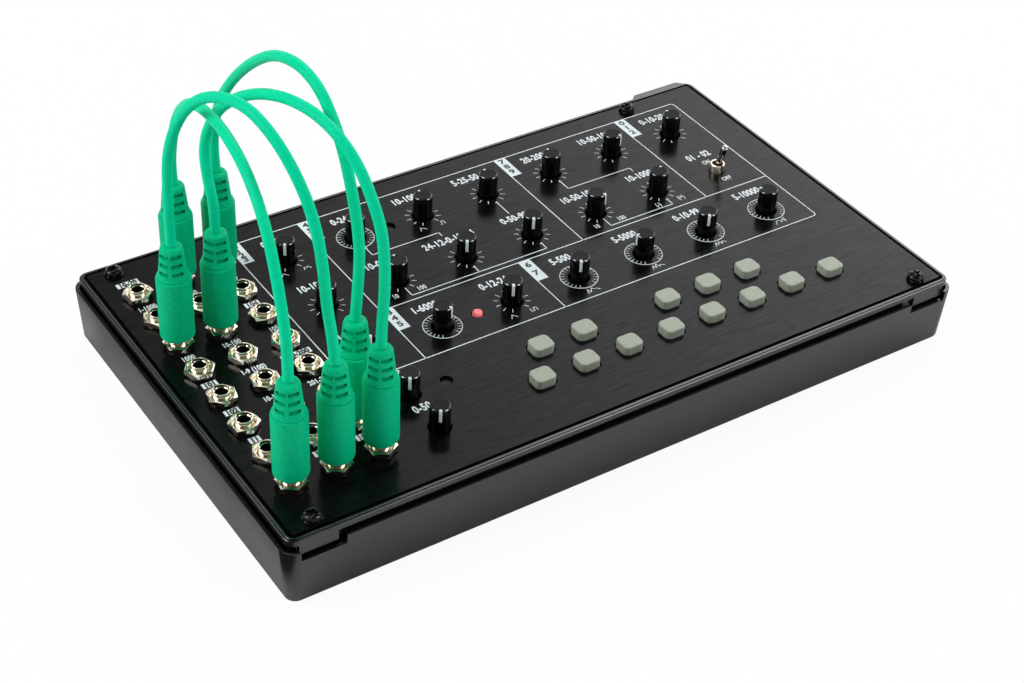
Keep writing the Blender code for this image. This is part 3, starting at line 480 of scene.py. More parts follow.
# Sweeps an outline of (distance out, height) points round a rectangle with round corners
def sweepRound(outline, low, high, radius, closed=True, steps=8):
    bm = bmesh.new()
    front = drawLine(bm, [(low[0] + radius, low[1] - out, z) for out, z in outline], closed)
    width = high[0] - low[0] - 2 * radius
    depth = high[1] - low[1] - 2 * radius
    runs = (
        ((width, 0, 0), (high[0] - radius, low[1] + radius)),
        ((0, depth, 0), (high[0] - radius, high[1] - radius)),
        ((-width, 0, 0), (low[0] + radius, high[1] - radius)),
        ((0, -depth, 0), (low[0] + radius, low[1] + radius)),
    )
    for step, centre in runs:
        made = bmesh.ops.extrude_edge_only(bm, edges=only(bmesh.types.BMEdge, front))
        verts = only(bmesh.types.BMVert, made["geom"])
        edges = only(bmesh.types.BMEdge, made["geom"])
        front = verts + [edge for edge in edges if all(v in verts for v in edge.verts)]
        bmesh.ops.translate(bm, verts=verts, vec=step)
        made = bmesh.ops.spin(
            bm, geom=front, cent=(*centre, 0), axis=(0, 0, 1), angle=math.pi / 2, steps=steps,
        )
        front = made["geom_last"]
    clean(bm)
    return bm


# Camera: the photograph's place, worked out from the panel's corners and holes

camera = {
    "place": (-167.91, -332.42, 356.71), "target": (92.32, 38.84, 0), "lens": 70.322, "roll": 3.045,
}


def makeCamera():
    data = bpy.data.cameras.new("camera")
    data.lens = camera["lens"]
    data.sensor_width = 36
    data.clip_start = 0.01
    data.clip_end = 50
    item = bpy.data.objects.new("camera", data)
    place = fromPanel @ Vector(camera["place"])
    ahead = (fromPanel @ Vector(camera["target"])) - place
    item.rotation_mode = "QUATERNION"
    level = ahead.to_track_quat("-Z", "Y")
    item.rotation_quaternion = level @ Quaternion((0, 0, 1), math.radians(camera["roll"]))
    item.location = place
    scene.collection.objects.link(item)
    scene.camera = item


makeCamera()

# Patch cords: tubes of soft vinyl on smooth lines through the points of their routes

cord = {"radius": 1.5, "start": 35.6, "smoothing": 12, "sides": 5}
cordJacks = (((0, 2), (1, 7)), ((1, 0), (0, 7)), ((1, 2), (2, 7)), ((2, 0), (2, 6)))
cordRoutes = (
    (
        (8.9, 84.4, 45), (9, 83.9, 55), (9.2, 82.9, 64), (9.8, 80, 73), (10.9, 74.5, 82.5),
        (12.5, 66.8, 90.2), (14.3, 57.6, 94.9), (16.2, 48, 96.3), (17.9, 39.6, 93.5),
        (19.3, 32.6, 88.3), (20.5, 26.8, 81), (21.3, 22.9, 72), (21.7, 20.9, 62),
        (21.9, 19.6, 52), (22.3, 18, 43),
    ),
    (
        (22.4, 111.4, 43), (22.1, 109.3, 50), (21.6, 105.4, 58.2), (20.6, 99, 66.7),
        (19.2, 89.6, 74.6), (17.5, 78.2, 80), (15.8, 64.9, 83), (14, 52.5, 83.5),
        (12.6, 43, 82), (11.3, 34.2, 77.9), (10.4, 27.8, 71.7), (9.8, 23.4, 64.3),
        (9.3, 20, 56.8), (8.9, 17.6, 49.8), (8.9, 17, 43),
    ),
    (
        (22.3, 84.9, 45), (22.1, 86.9, 51.8), (22.2, 88, 59.5), (22.7, 86, 67.4),
        (23.6, 80.2, 76.5), (25, 71.7, 84.2), (26.9, 62.4, 89.8), (28.8, 52.4, 93.3),
        (30.7, 42.1, 94.4), (32.3, 33, 92.7), (33.8, 25.6, 87.9), (34.8, 20.2, 81),
        (35.7, 16.6, 72.5), (36, 15.4, 62.7), (36.2, 15.8, 53), (36.1, 16.6, 44.5),
    ),
    (
        (36, 112, 43), (36, 110.7, 51), (36, 107.3, 59.5), (36, 101.5, 68), (36, 93.6, 76.8),
        (36, 84.2, 85.2), (36, 74.6, 92), (36, 65.8, 96), (36, 56.5, 97.7), (36, 47.8, 96.2),
        (36, 40.6, 90.8), (36, 35.6, 84), (36, 31.8, 75.3), (36, 29, 66), (36, 28.1, 57.5),
        (36, 29, 47),
    ),
)


# A smooth line through the points, with a number of steps between each two of them
def smoothLine(points):
    path = [2 * points[0] - points[1]] + points + [2 * points[-1] - points[-2]]
    line = []
    for a, b, c, d in zip(path, path[1:], path[2:], path[3:]):
        for step in range(cord["smoothing"]):
            t = step / cord["smoothing"]
            bend = (2 * a - 5 * b + 4 * c - d) * t + (3 * b - a - 3 * c + d) * t * t
            line.append(b + ((c - a) + bend) * t / 2)
    return line + [points[-1]]


def makeCord(number, jacks, route):
    ends = [Vector((*jackPlace(*jack), cord["start"])) for jack in jacks]
    line = smoothLine([ends[0]] + [Vector(point) for point in route] + [ends[1]])
    line = [fromPanel @ point for point in line]
    curve = bpy.data.curves.new(f"cordTube{number}", "CURVE")
    curve.dimensions = "3D"
    curve.bevel_depth = cord["radius"] * mm
    curve.bevel_resolution = cord["sides"]
    curve.use_fill_caps = True
    spline = curve.splines.new("POLY")
    spline.points.add(len(line) - 1)
    for target, point in zip(spline.points, line):
        target.co = (*point, 1)
    spline.use_smooth = True
    curve.materials.append(cordVinylPaintedLight)
    tube = bpy.data.objects.new(f"cordTube{number}", curve)
    scene.collection.objects.link(tube)
    body = f"patch_cord_{number}"
    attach(tube, body)
    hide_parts(body)
    length = sum((b - a).length for a, b in zip(line, line[1:]))
    return tube, line[0], length


cordTubes = [makeCord(n, *pair) for n, pair in enumerate(zip(cordJacks, cordRoutes), 1)]
print("camera and cords made")

# Plugs: a moulded grip with a slotted strain relief, on a nickel-plated shaft and collar

plug = {
    "tip": -10.7, "seat": 3.45, "gripBottom": 4.6, "gripTop": 25.0, "gripRadius": 5.0,
    "shoulder": 26.7, "shoulderRadius": 4.05, "crown": 34.5, "top": 35.3, "slotStart": 27.0,
    "slotPitch": 2.7, "slotHeight": 1.2, "slotDepth": 1.7, "slotHalf": 1.65, "slotSlope": 0.105,
    "facing": -125,
}


def makeGrip():
    bottom = plug["gripBottom"]
    top = plug["gripTop"]
    radius = plug["gripRadius"]
    grip = turned((
        (0, bottom), (2.9, bottom), (radius - 0.75, bottom), (radius - 0.3, bottom + 0.14),
        (radius - 0.06, bottom + 0.5), (radius, bottom + 0.9), (radius, top - 0.7),
        (radius - 0.04, top - 0.3), (radius - 0.16, top - 0.08), (radius - 0.32, top),
        (radius - 0.5, top - 0.02), (radius - 0.56, top + 0.12), (radius - 0.42, top + 0.35),
        (radius - 0.46, top + 0.7), (plug["shoulderRadius"] + 0.1, plug["shoulder"] - 0.15),
        (plug["shoulderRadius"], plug["shoulder"] + 0.1), (3.8, 29), (3.5, 32), (3.28, 34.1),
        (3.2, plug["crown"]), (3.02, plug["crown"] + 0.42), (2.7, plug["top"] - 0.14),
        (2.3, plug["top"]), (1.62, plug["top"] + 0.02), (1.5, plug["top"] + 0.12),
        (1.5, cord["start"] + 0.05), (0, cord["start"] + 0.05),
    ), 64)
    slots = bmesh.new()
    half = plug["slotHalf"]
    for row in range(3):
        z = plug["slotStart"] + row * plug["slotPitch"]
        face = plug["shoulderRadius"] - plug["slotSlope"] * (z - plug["shoulder"])
        for side in (-33, 33, 147, 213):
            slot = block(
                (face - plug["slotDepth"], -half, z), (face + 1, half, z + plug["slotHeight"]),
                0.25, 3,
            )
            addShape(slots, slot, turn(plug["facing"] + side))
            slot.free()
    return cutShape(grip, slots)


def makeShaft():
    seat = plug["seat"]
    tip = plug["tip"]
    return turned((
        (0, tip), (0.5, tip + 0.05), (0.95, tip + 0.5), (1.62, tip + 1.5), (1.7, tip + 2.1),
        (1.25, tip + 2.9), (1.28, tip + 3.2), (1.75, tip + 3.6), (1.75, tip + 7.0),
        (1.68, tip + 7.05), (1.68, tip + 7.6), (1.75, tip + 7.65), (1.75, seat - 0.1),
        (1.85, seat), (2.45, seat), (2.6, seat + 0.15), (2.6, seat + 1.1), (2.75, seat + 1.25),
        (2.75, plug["gripBottom"] + 0.3), (0, plug["gripBottom"] + 0.3),
    ), 40)


gripShape = makeGrip()
shaftShape = makeShaft()
for number, jacks in enumerate(cordJacks, 1):
    plugs = []
    for end, jack in zip("ab", jacks):
        place = move(*jackPlace(*jack))
        node = f"plug_{number}{end}"
        body = f"patch_cord_{number}"
        shaft = addPiece(
            shaftShape.copy(), f"plugShaft{number}{end}", body, [leverChrome], (node,),
            place=place,
        )
        grip = addPiece(
            gripShape.copy(), f"plugGrip{number}{end}", body, [plugVinylPaintedShade], (node,),
            place=place,
        )
        plugs += [shaft, grip]
print("plugs made")

# Front panel: a brushed plate with holes for jacks, knobs, lights, switch, screws and keys

panel = {
    "corner": 0.7, "edge": 0.14, "jackHole": 3.2, "knobHole": 3.5, "lightHole": 1.95,
    "toggleHole": 2.75, "screwHole": 1.75, "keyHole": (7.7, 7.1), "keyCorner": 2.2,
}


def makePanel():
    bm = bmesh.new()
    roundedOutline(bm, (0, 0), (panelSize.x, panelSize.y), panel["corner"], 0, 4)
    halfX, halfY = (size / 2 for size in panel["keyHole"])
    for x, y in keyPlaces:
        low = (x - halfX, y - halfY)
        high = (x + halfX, y + halfY)
        roundedOutline(bm, low, high, panel["keyCorner"], 0, 5)
    holes = [(place, panel["jackHole"], 24) for place in jackPlaces]
    holes += [(place, panel["knobHole"], 40) for place in knobPlaces]
    lights = (layout["light"], *layout["darkLights"])
    holes += [(place, panel["lightHole"], 32) for place in lights]
    holes += [(place, panel["screwHole"], 20) for place in layout["screws"]]
    holes.append((togglePlace, panel["toggleHole"], 32))
    for place, radius, sides in holes:
        bmesh.ops.create_circle(bm, segments=sides, radius=radius, matrix=move(*place))
    bmesh.ops.translate(bm, verts=bm.verts, vec=(0, 0, -panelSize.z))
    fillPlate(bm, -panelSize.z, 0)
    soften(bm, panel["edge"], 2, 60, lambda edge: all(v.co.z > -0.01 for v in edge.verts))
    return bm


addPiece(makePanel(), "frontPlate", "case", [aluminium], ("front_panel",))
print("panel made")

# Screen print: frame lines, tabs, dial marks, arrows, signs of the waves and plain numbers

printing = {
    "height": 0.035, "line": 0.33, "thin": 0.26, "arrow": 0.32, "sign": 0.221, "narrow": 0.7,
    "labelHeight": 2.9, "smallHeight": 1.9, "jackHeight": 1.95, "digitHeight": 2.2,
    "boxHeight": 2.3, "jackLabelRise": 6.4, "tabWidth": 4.1, "tabLength": 10.7,
    "capShare": 0.69,  # height of a digit as a share of the font's size
}
frameCorners = ((42.7, 44.7), (211.6, 121.3))
frameLines = (
    ((66.8, 44.7), (66.8, 121.3)), ((139.1, 70.2), (139.1, 121.3)), ((187.2, 70.2), (187.2, 121.3)),
    ((115.1, 44.7), (115.1, 70.2)), ((66.8, 70.2), (211.6, 70.2)),
)
tabs = (
    (42.5, 121.3, "0123"), (66.6, 121.3, "456"), (138.9, 121.3, "789"), (187.0, 121.3, "012"),
    (66.6, 70.2, "345"), (114.9, 70.2, "67"),
)
arrows = (
    ((102.4, 93.8), (102.4, 95.7), (78.8, 95.7), (78.8, 99.6)), ((127, 93.8), (127, 100.6)),
    ((78.8, 76.2), (78.8, 72.2), (126.9, 72.2), (126.9, 75)), ((102.4, 72.2), (102.4, 75)),
    ((175.3, 94.1), (175.3, 96), (151.2, 96), (151.2, 100.6)),
    ((151.2, 76.4), (151.2, 72.3), (175.3, 72.3), (175.3, 75.1)),
)
# Marks of a dial: how many, their inner and outer radius, and their share of the thin line
ringDials = {(1, 0), (1, 2), (3, 2), (4, 2), (5, 2), (6, 2)}
ringMarks = (21, (4.5, 5.7), 0.75)
plainMarks = (11, (4.2, 5.5), 0.95)
knobLabelLines = (115.1, 89.4, 63.9, 41.4, 25.3)
knobLabels = (
    "0-10", "10-100", "1-10000", "0-24", "10-0-100", "1-6000", "10-1000", "24-12-0-12-24",
    "0-12-24", "5-25-50-95", "0-50-99", "5-500", "20-200", "10-50-100", "5-5000", "10-50-100",
    "10-1000", "0-10-99", "0-10-20", "5-10000", "0-99", "0-50",
)
jackLabels = (
    ("10-20", "1-1000", "20", "1000", "101", "102", "11", "12"),
    ("30-40", "50-60", "1-5", "10-100", "1-9 (100)", "10-10000", "70-80", "1001"),
    ("14-15", "16-17", "104", "105", "100-200", "201-210", "18-19", "10011"),
)
boxedJacks = {(0, 0), (0, 4), (0, 5), (0, 6), (2, 2), (2, 4), (1, 7), (2, 7)}
smallLabels = (
    ("10", 74.2, 73.2), ("100", 83.2, 73.2), ("10", 147.0, 73.2), ("100", 156.4, 73.2),
    ("(-)", 170.9, 73.3), ("(+)", 179.8, 73.3), ("ON", 199.5, 85.4), ("OFF", 199.5, 74.6),
)
waveSigns = (
    ((49.8, 99.2), (50.9, 100.5), (52, 99.2)),
    ((57.4, 99.2), (57.9, 100.6), (58.5, 99.7), (59.1, 100.6), (59.7, 99.2)),
    ((98.2, 99.1), (98.7, 100.6), (100.3, 99.3)),
    ((105.4, 99.1), (106, 99.1), (106, 100.7), (107, 100.7), (107, 99.1)),
    ((98.2, 47.8), (99.2, 49.4), (100.3, 47.8)),
    ((105.4, 49.2), (105.4, 47.8), (106.4, 47.8), (106.4, 49.2), (107.4, 49.2), (107.4, 47.8)),
    (
        (124.9, 46.6), (125.5, 48.6), (126, 46.8), (127, 48.7), (127.6, 47.8), (128.4, 47.8),
        (129.2, 46.9),
    ),
    (
        (149, 46.8), (149.8, 48.5), (150.3, 47), (151, 48.9), (151.6, 47), (152.2, 48),
        (153.5, 47.1),
    ),
    (
        (173.2, 46.8), (174, 48.6), (174.4, 47.2), (175.2, 48.6), (175.8, 47), (176.2, 48.4),
        (177.4, 47.4),
    ),
    (
        (197.2, 46.7), (198, 48.2), (199, 48.2), (199.6, 47), (200.4, 48.6), (201, 46.8),
        (201.2, 48.8),
    ),
)


# A flat bar of ink between two points
def addBar(bm, a, b, width):
    along = Vector(b) - Vector(a)
    height = printing["height"]
    bmesh.ops.create_cube(
        bm, size=1,
        matrix=move((a[0] + b[0]) / 2, (a[1] + b[1]) / 2, height / 2)
        @ Matrix.Rotation(math.atan2(along.y, along.x), 4, "Z")
        @ stretch(along.length + width * 0.8, width, height),
    )


def addPath(bm, points, width):
    for a, b in zip(points, points[1:]):
        addBar(bm, a, b, width)


# Words of solid ink, centred on x. The weight thickens their strokes, and narrow is their width.
def addWords(bm, words, x, y, height, top, weight=0.034, narrow=printing["narrow"]):
    curve = bpy.data.curves.new("words", "FONT")
    curve.body = words
    curve.align_x = "CENTER"
    curve.size = 1
    curve.extrude = 0.5
    curve.offset = weight
    curve.resolution_u = 3
    curve.space_character = 1.06
    item = bpy.data.objects.new("words", curve)
    scene.collection.objects.link(item)
    graph = bpy.context.evaluated_depsgraph_get()
    mesh = bpy.data.meshes.new_from_object(item.evaluated_get(graph))
    size = height / printing["capShare"]
    mesh.transform(move(x, y, top / 2) @ stretch(size * narrow, size, top))
    bm.from_mesh(mesh)
    bpy.data.objects.remove(item)


# Frame lines, the sheets of the tabs with their dark digits, arrows, and signs of the waves
def printFrame(white, dark):
    height = printing["height"]
    half = printing["line"] / 2
    section = ((-half, 0), (half, 0), (half, height), (-half, height))
    addShape(white, sweepRound(section, *frameCorners, 1.2))
    for a, b in frameLines:
        addBar(white, a, b, printing["line"])
    for x, y, digits in tabs:
        sheet = bmesh.new()
        low = (x, y - printing["tabLength"])
        high = (x + printing["tabWidth"], y + half)
        roundedOutline(sheet, low, high, 0.9, 0, 5, (3,))
        fillPlate(sheet, 0, height * 1.2)
        addShape(white, sheet)
        step = printing["tabLength"] / (len(digits) + 0.4)
        for index, digit in enumerate(digits):
            below = y - 0.25 - step * (index + 1) + (step - 2.1) / 2
            middle = x + printing["tabWidth"] / 2
            addWords(dark, digit, middle, below, printing["digitHeight"], height * 2, 0.04, 1.15)
    for path in arrows:
        addPath(white, path, printing["arrow"])
        x, y = path[-1]
        bmesh.ops.create_cone(
            white, cap_ends=True, segments=3, radius1=0.8, radius2=0.8, depth=height,
            matrix=move(x, y + 0.1, height / 2) @ turn(90) @ stretch(0.9, 0.8, 1),
        )
    for path in waveSigns:
        addPath(white, path, printing["sign"])


# Dials with their numbers, and the numbers of the switch
def printDials(white):
    height = printing["height"]
    size = printing["labelHeight"]
    for (column, row), (x, y), words in zip(knobCells, knobPlaces, knobLabels):
        isRing = (column, row) in ringDials
        if isRing:
            ring = ((5.68, 0), (5.94, 0), (5.94, height), (5.68, height))
            addShape(white, turned(ring, 72, True), move(x, y))
        count, reach, share = ringMarks if isRing else plainMarks
        for mark in range(count if row < 3 else 0):
            angle = math.radians(240 - 300 * mark / (count - 1))
            ends = [(x + r * math.cos(angle), y + r * math.sin(angle)) for r in reach]
            addBar(white, *ends, printing["thin"] * share)
        addWords(white, words, x, knobLabelLines[row], size, height)
    addWords(white, "01 - 02", togglePlace[0], knobLabelLines[1], size, height)
    for words, x, y in smallLabels:
        addWords(white, words, x, y, printing["smallHeight"], height, 0.02)


# Numbers of the jacks, white on the panel or dark in a white box
def printJacks(white, dark):
    height = printing["height"]
    size = printing["jackHeight"]
    for (column, row), (x, y) in zip(jackCells, jackPlaces):
        words = jackLabels[column][row]
        base = y + printing["jackLabelRise"]
        if (column, row) in boxedJacks:
            half = 0.6 * len(words) - 0.45
            middle = base + size / 2
            addBar(white, (x - half, middle), (x + half, middle), printing["boxHeight"])
            addWords(dark, words, x, base + 0.05, size - 0.1, height * 2, 0.06, 0.85)
        else:
            addWords(white, words, x, base, size, height, 0.03, 0.68)


whitePrint = bmesh.new()
darkPrint = bmesh.new()
printFrame(whitePrint, darkPrint)
printDials(whitePrint)
printJacks(whitePrint, darkPrint)
for printed in (whitePrint, darkPrint):
    clean(printed, 0.0001)
addPiece(whitePrint, "whitePrint", "case", [ink])
addPiece(darkPrint, "darkPrint", "case", [darkInk])
print("print made")

# Case: an upper tray whose rim frames the panel, in a tapered lower tub

case = {
    "corner": 0.7, "tubTop": -3.5, "tubBottom": -21.8, "tubOut": 3.75, "taper": 0.0601,
    "wall": 1.2, "floorTop": -19.8, "trayBottom": -19.5, "rimOut": 2.3, "rimStep": -0.35,
    "rimBottom": -2.15, "tabs": (0.6, 12.3), "tabBottom": -5.3, "notch": (0.5, 14.0),
    "notchFloor": -6.5, "flange": (203.5, 221.1), "inlet": (212.3, -15.0), "footPlace": 14,
}


# How far the tub's tapered wall stands out from the panel's edge at a height
def tubOut(z):
    return case["tubOut"] - (case["tubTop"] - z) * case["taper"]


def makeTub():
    top = case["tubTop"]
    bottom = case["tubBottom"]
    floor = case["floorTop"]
    out = case["tubOut"]
    inside = out - case["wall"]
    outline = (
        (tubOut(floor) - 1.7, floor), (tubOut(floor) - 1.3, floor + 0.15),
        (tubOut(floor) - 1.2, floor + 0.6), (inside, top - 0.15), (inside + 0.15, top),
        (out - 0.25, top), (out - 0.07, top - 0.07), (out, top - 0.25),
        (tubOut(bottom + 0.8), bottom + 0.8), (tubOut(bottom) - 0.09, bottom + 0.4),
        (tubOut(bottom) - 0.33, bottom + 0.1), (tubOut(bottom) - 0.7, bottom),
    )
    tub = sweepRound(outline, (0, 0), (panelSize.x, panelSize.y), case["corner"], False, 12)
    bmesh.ops.holes_fill(tub, edges=tub.edges, sides=0)
    cutters = bmesh.new()
    low, high = case["notch"]
    for start, end in ((low, high), (panelSize.x - high, panelSize.x - low)):
        notch = block((start, -5.2, case["notchFloor"]), (end, -1.6, 0), 0.4, 3)
        addShape(cutters, notch)
    x, z = case["inlet"]
    drill = turned(((0, -3), (4, -3), (4, 3), (0, 3)), 40)
    addShape(cutters, drill, move(x, panelSize.y + 3.4, z) @ turn(90, "X"))
    return cutShape(tub, cutters)


def makeTray():
    step = case["rimStep"]
    bottom = case["rimBottom"]
    out = case["rimOut"]
    outline = (
        (1.0, -0.12), (1.12, 0), (1.58, 0), (1.7, -0.12), (1.7, step), (out - 0.16, step),
        (out, step - 0.16), (out, bottom + 0.1), (out - 0.1, bottom), (1.2, bottom),
        (1.2, case["trayBottom"]), (-0.69, case["trayBottom"]), (-0.69, -1.9), (1.0, -1.9),
    )
    tray = sweepRound(outline, (0, 0), (panelSize.x, panelSize.y), case["corner"], True, 10)
    x, z = case["inlet"]
    tray = cutShape(tray, block((x - 4.8, 126, -20.5), (x + 4.8, 130.9, z + 4.8)))
    low, high = case["tabs"]
    for mirrored in (False, True):
        tab = block((low, -2.34, case["tabBottom"]), (high, -1.1, step - 0.2), 0.12)
        place = move(panelSize.x, 0) @ stretch(-1, 1, 1) if mirrored else None
        addShape(tray, tab, place)
    low, high = case["flange"]
    flange = bmesh.new()
    corners = ((low - 2.5, 129.9), (high + 2.5, 129.9), (high, 132.25), (low, 132.25))
    face = flange.faces.new([flange.verts.new((x, y, bottom)) for x, y in corners])
    thicken(flange, [face], -bottom)
    soften(flange, 0.25, 2)
    addShape(tray, flange)
    for y in (0.7, panelSize.y - 6.2):
        rail = block((0.7, y, -6.9), (panelSize.x - 0.7, y + 5.5, underPanel), 0.2, 1)
        addShape(tray, rail)
    return tray


def makeFeet():
    feet = bmesh.new()
    foot = turned((
        (0, -22.8), (4.4, -22.8), (4.85, -22.65), (5, -22.2), (5, -21.7), (0, -21.7),
    ), 40)
    inset = case["footPlace"]
    for x in (inset, panelSize.x - inset):
        for y in (inset, panelSize.y - inset):
            addShape(feet, foot, move(x, y))
    return feet


addPiece(makeTub(), "lowerTub", "case", [casePlastic], ("case_tub",))
addPiece(makeTray(), "upperTray", "case", [casePlastic], ("case_tray",))
addPiece(makeFeet(), "rubberFeet", "case", [feetRubber], ("case_tub",))
print("case made")

# Jacks: a threaded bushing with a washer and a chamfered nut, in a moulded body on the board

jack = {
    "nut": 8.0, "nutBottom": 0.5, "nutTop": 2.2, "washer": 3.7, "bushing": 2.62, "top": 3.5,
    "bore": 2.2, "contact": 1.8, "bodyHalf": 4.5, "bodyBottom": -12.4, "nutTurn": -45,
}


# A nut is turned with its chamfer, and then its flats are cut off
def makeNut():
    corner = jack["nut"] / 2 / math.cos(math.pi / 6)
    low = jack["nutBottom"]
    high = jack["nutTop"]
    flat = jack["nut"] / 2 - 0.12
    hole = jack["bushing"] + 0.05
    nut = turned((
        (hole, low), (flat - 0.1, low), (corner, low + (corner - flat) * 0.6),
        (corner, high - (corner - flat) * 0.6), (flat - 0.1, high), (flat - 0.42, high),
        (flat - 0.5, high - 0.06), (hole + 0.04, high - 0.66), (hole, high - 0.72),
    ), 72, True)
    for side in range(6):
        angle = math.pi / 6 + side * math.pi / 3
        facing = Vector((math.cos(angle), math.sin(angle), 0))
        cut = bmesh.ops.bisect_plane(
            nut, geom=nut.verts[:] + nut.edges[:] + nut.faces[:], dist=0.0001,
            plane_co=facing * jack["nut"] / 2, plane_no=facing, clear_outer=True,
        )
        rim = only(bmesh.types.BMEdge, cut["geom_cut"])
        bmesh.ops.holes_fill(nut, edges=rim, sides=0)
    clean(nut)
    return nut


def makeJacks():
    metal = bmesh.new()
    bodies = bmesh.new()
    nut = makeNut()
    edge = jack["washer"]
    washer = turned((
        (2.7, 0), (edge - 0.12, 0), (edge, 0.1), (edge, 0.36), (edge - 0.1, jack["nutBottom"]),
        (2.7, jack["nutBottom"]),
    ), 56, True)
    top = jack["top"]
    radius = jack["bushing"]
    bore = jack["bore"]
    bushing = turned((
        (radius, -1.9), (radius, 1.9), (radius - 0.1, 2.0), (radius, 2.1), (radius, 2.3),
        (radius - 0.08, 2.38), (radius, 2.46), (radius, top - 0.3), (radius - 0.06, top - 0.12),
        (radius - 0.16, top - 0.02), (bore + 0.12, top), (bore + 0.03, top - 0.05),
        (bore - 0.02, top - 0.2), (bore - 0.06, top - 0.75), (1.95, top - 0.9), (1.95, -1.9),
    ), 56, True)
    inside = jack["contact"]
    inner = turned((
        (inside, 2.6), (inside, -10.9), (0, -10.9), (0, -11.4), (2.45, -11.4), (2.45, -2.2),
        (1.93, -2.2), (1.93, 2.6),
    ), 32, True)
    half = jack["bodyHalf"]
    base = jack["bodyBottom"]
    for index, (x, y) in enumerate(jackPlaces):
        tightened = (index * 0.382 % 1 - 0.5) * 60  # each nut stops at its own angle
        addShape(metal, nut, move(x, y) @ turn(jack["nutTurn"] + tightened))
        addShape(metal, washer, move(x, y))
        addShape(metal, bushing, move(x, y))
        addShape(bodies, inner, move(x, y))
        shell = bmesh.new()
        roundedOutline(shell, (x - half, y - half), (x + half, y + half), 0.5, base, 3)
        bmesh.ops.create_circle(shell, segments=32, radius=2.55, matrix=move(x, y, base))
        fillPlate(shell, base, underPanel)
        addShape(bodies, shell)
    board = block((2, 9, -13.6), (43, 119.5, -12), 0.15, 1)
    addPiece(metal, "jackMetal", "case", [jackNickel], ("patch_board",))
    addPiece(bodies, "jackBodies", "case", [socketPlastic], ("patch_board",))
    addPiece(board, "patchCircuit", "case", [boardMask], ("patch_board",))


makeJacks()
print("jacks made")

# Knobs: a turned cap with a glossy side, a matt top and a painted pointer, on its shaft

knob = {
    "radius": 3.02, "sides": 64, "top": 7.9, "bottom": -1.6, "bevel": 0.36, "shaft": 1.5,
    "shaftBottom": -6.6, "pointerLow": 4.0, "pointerReach": 2.1,
    "pointerTurn": 180 / 64,  # half a side, so that the pointer is centred on one
}
# How far each knob is turned up, as a share of its dial
knobShares = (
    0, 0, 0, 0.5, 0.5, 1, 0.5, 0, 0, 0.5, 0, 0, 0.5, 1, 0.22, 1, 0.65, 0, 0.47, 0.345, 0, 0,
)


def makeKnob():
    radius = knob["radius"]
    top = knob["top"]
    bevel = knob["bevel"]
    low = knob["bottom"]
    shaft = knob["shaft"]
    cap = turned((
        (0, top - 0.06), (1.2, top - 0.05), (knob["pointerReach"], top - 0.02),
        (radius - bevel - 0.04, top), (radius - bevel + 0.03, top - 0.03),
        (radius - 0.03, top - bevel + 0.03), (radius, top - bevel - 0.04),
        (radius, knob["pointerLow"]), (radius, low + 0.2), (radius - 0.2, low), (2.3, low),
        (2.2, -1.1), (shaft, -1.1), (shaft, knob["shaftBottom"]), (0, knob["shaftBottom"]),
    ), knob["sides"])
    for face in cap.faces:
        middle = face.calc_center_median()
        across = abs(math.degrees(math.atan2(middle.y, middle.x)) - knob["pointerTurn"])
        outside = math.hypot(middle.x, middle.y)
        if middle.z > knob["pointerLow"] and outside > knob["pointerReach"] and across < 6:
            face.material_index = 2
        elif middle.z > top - bevel and outside > radius - bevel - 0.02:
            face.material_index = 3
        elif middle.z > top - 0.12 and outside < radius - bevel:
            face.material_index = 1
        else:
            face.material_index = 0
    raised = [face for face in cap.faces if face.material_index == 2]
    bmesh.ops.inset_region(cap, faces=raised, thickness=0.03, depth=0.02, use_even_offset=True)
    return cap


knobShape = makeKnob()
for number, ((x, y), share) in enumerate(zip(knobPlaces, knobShares), 1):
    node = f"knob_{number:02d}"
    addPiece(
        knobShape.copy(), f"knobCap{number:02d}", node, [knobGloss, knobTop, pointerPaint, knobRim],
        (node,), place=move(x, y) @ turn(240 - 300 * share - knob["pointerTurn"]),
    )
print("knobs made")

# Keys: soft rubber caps with round corners and crowned tops, flanged under the panel

key = {
    "width": 6.7, "depth": 6.1, "bottom": -2.0, "rise": 2.3, "corner": 1.7, "edge": 0.36,
    "flange": (9.5, 8.9), "flangeTop": -1.9, "flangeBottom": -2.9,
}


def makeKey():
    x = key["width"] / 2
    y = key["depth"] / 2
    rise = key["rise"]
    cap = block((-x, -y, key["bottom"]), (x, y, rise))
    upright = [e for e in cap.edges if abs(e.verts[0].co.z - e.verts[1].co.z) > 1]
    bmesh.ops.bevel(
        cap, geom=upright, offset=key["corner"], offset_type="OFFSET", segments=8, profile=0.5,
        affect="EDGES", material=-1,
    )
    soften(cap, key["edge"], 5, 60, lambda e: all(v.co.z > rise - 0.01 for v in e.verts))
    top = [f for f in cap.faces if all(v.co.z > rise - 0.01 for v in f.verts)]
    bmesh.ops.inset_region(cap, faces=top, thickness=0.5, depth=0.03, use_even_offset=True)
    x, y = (size / 2 for size in key["flange"])
    addShape(cap, block((-x, -y, key["flangeBottom"]), (x, y, key["flangeTop"]), 0.2))
    return cap


keyShape = makeKey()
for number, (x, y) in enumerate(keyPlaces, 1):
    node = f"key_{number:02d}"
    addPiece(
        keyShape.copy(), f"keyCap{number:02d}", node, [keyRubber], (node,),
        smooth=40, place=move(x, y),
    )
print("keys made")

# Toggle switch: a plated bushing with a keyway, and a lever with a flat tip that turns on a ball

toggle = {
    "pivot": 2.2, "lean": 18, "radius": 2.46, "rise": 3.0, "opening": 1.8, "keyway": 0.84,
}


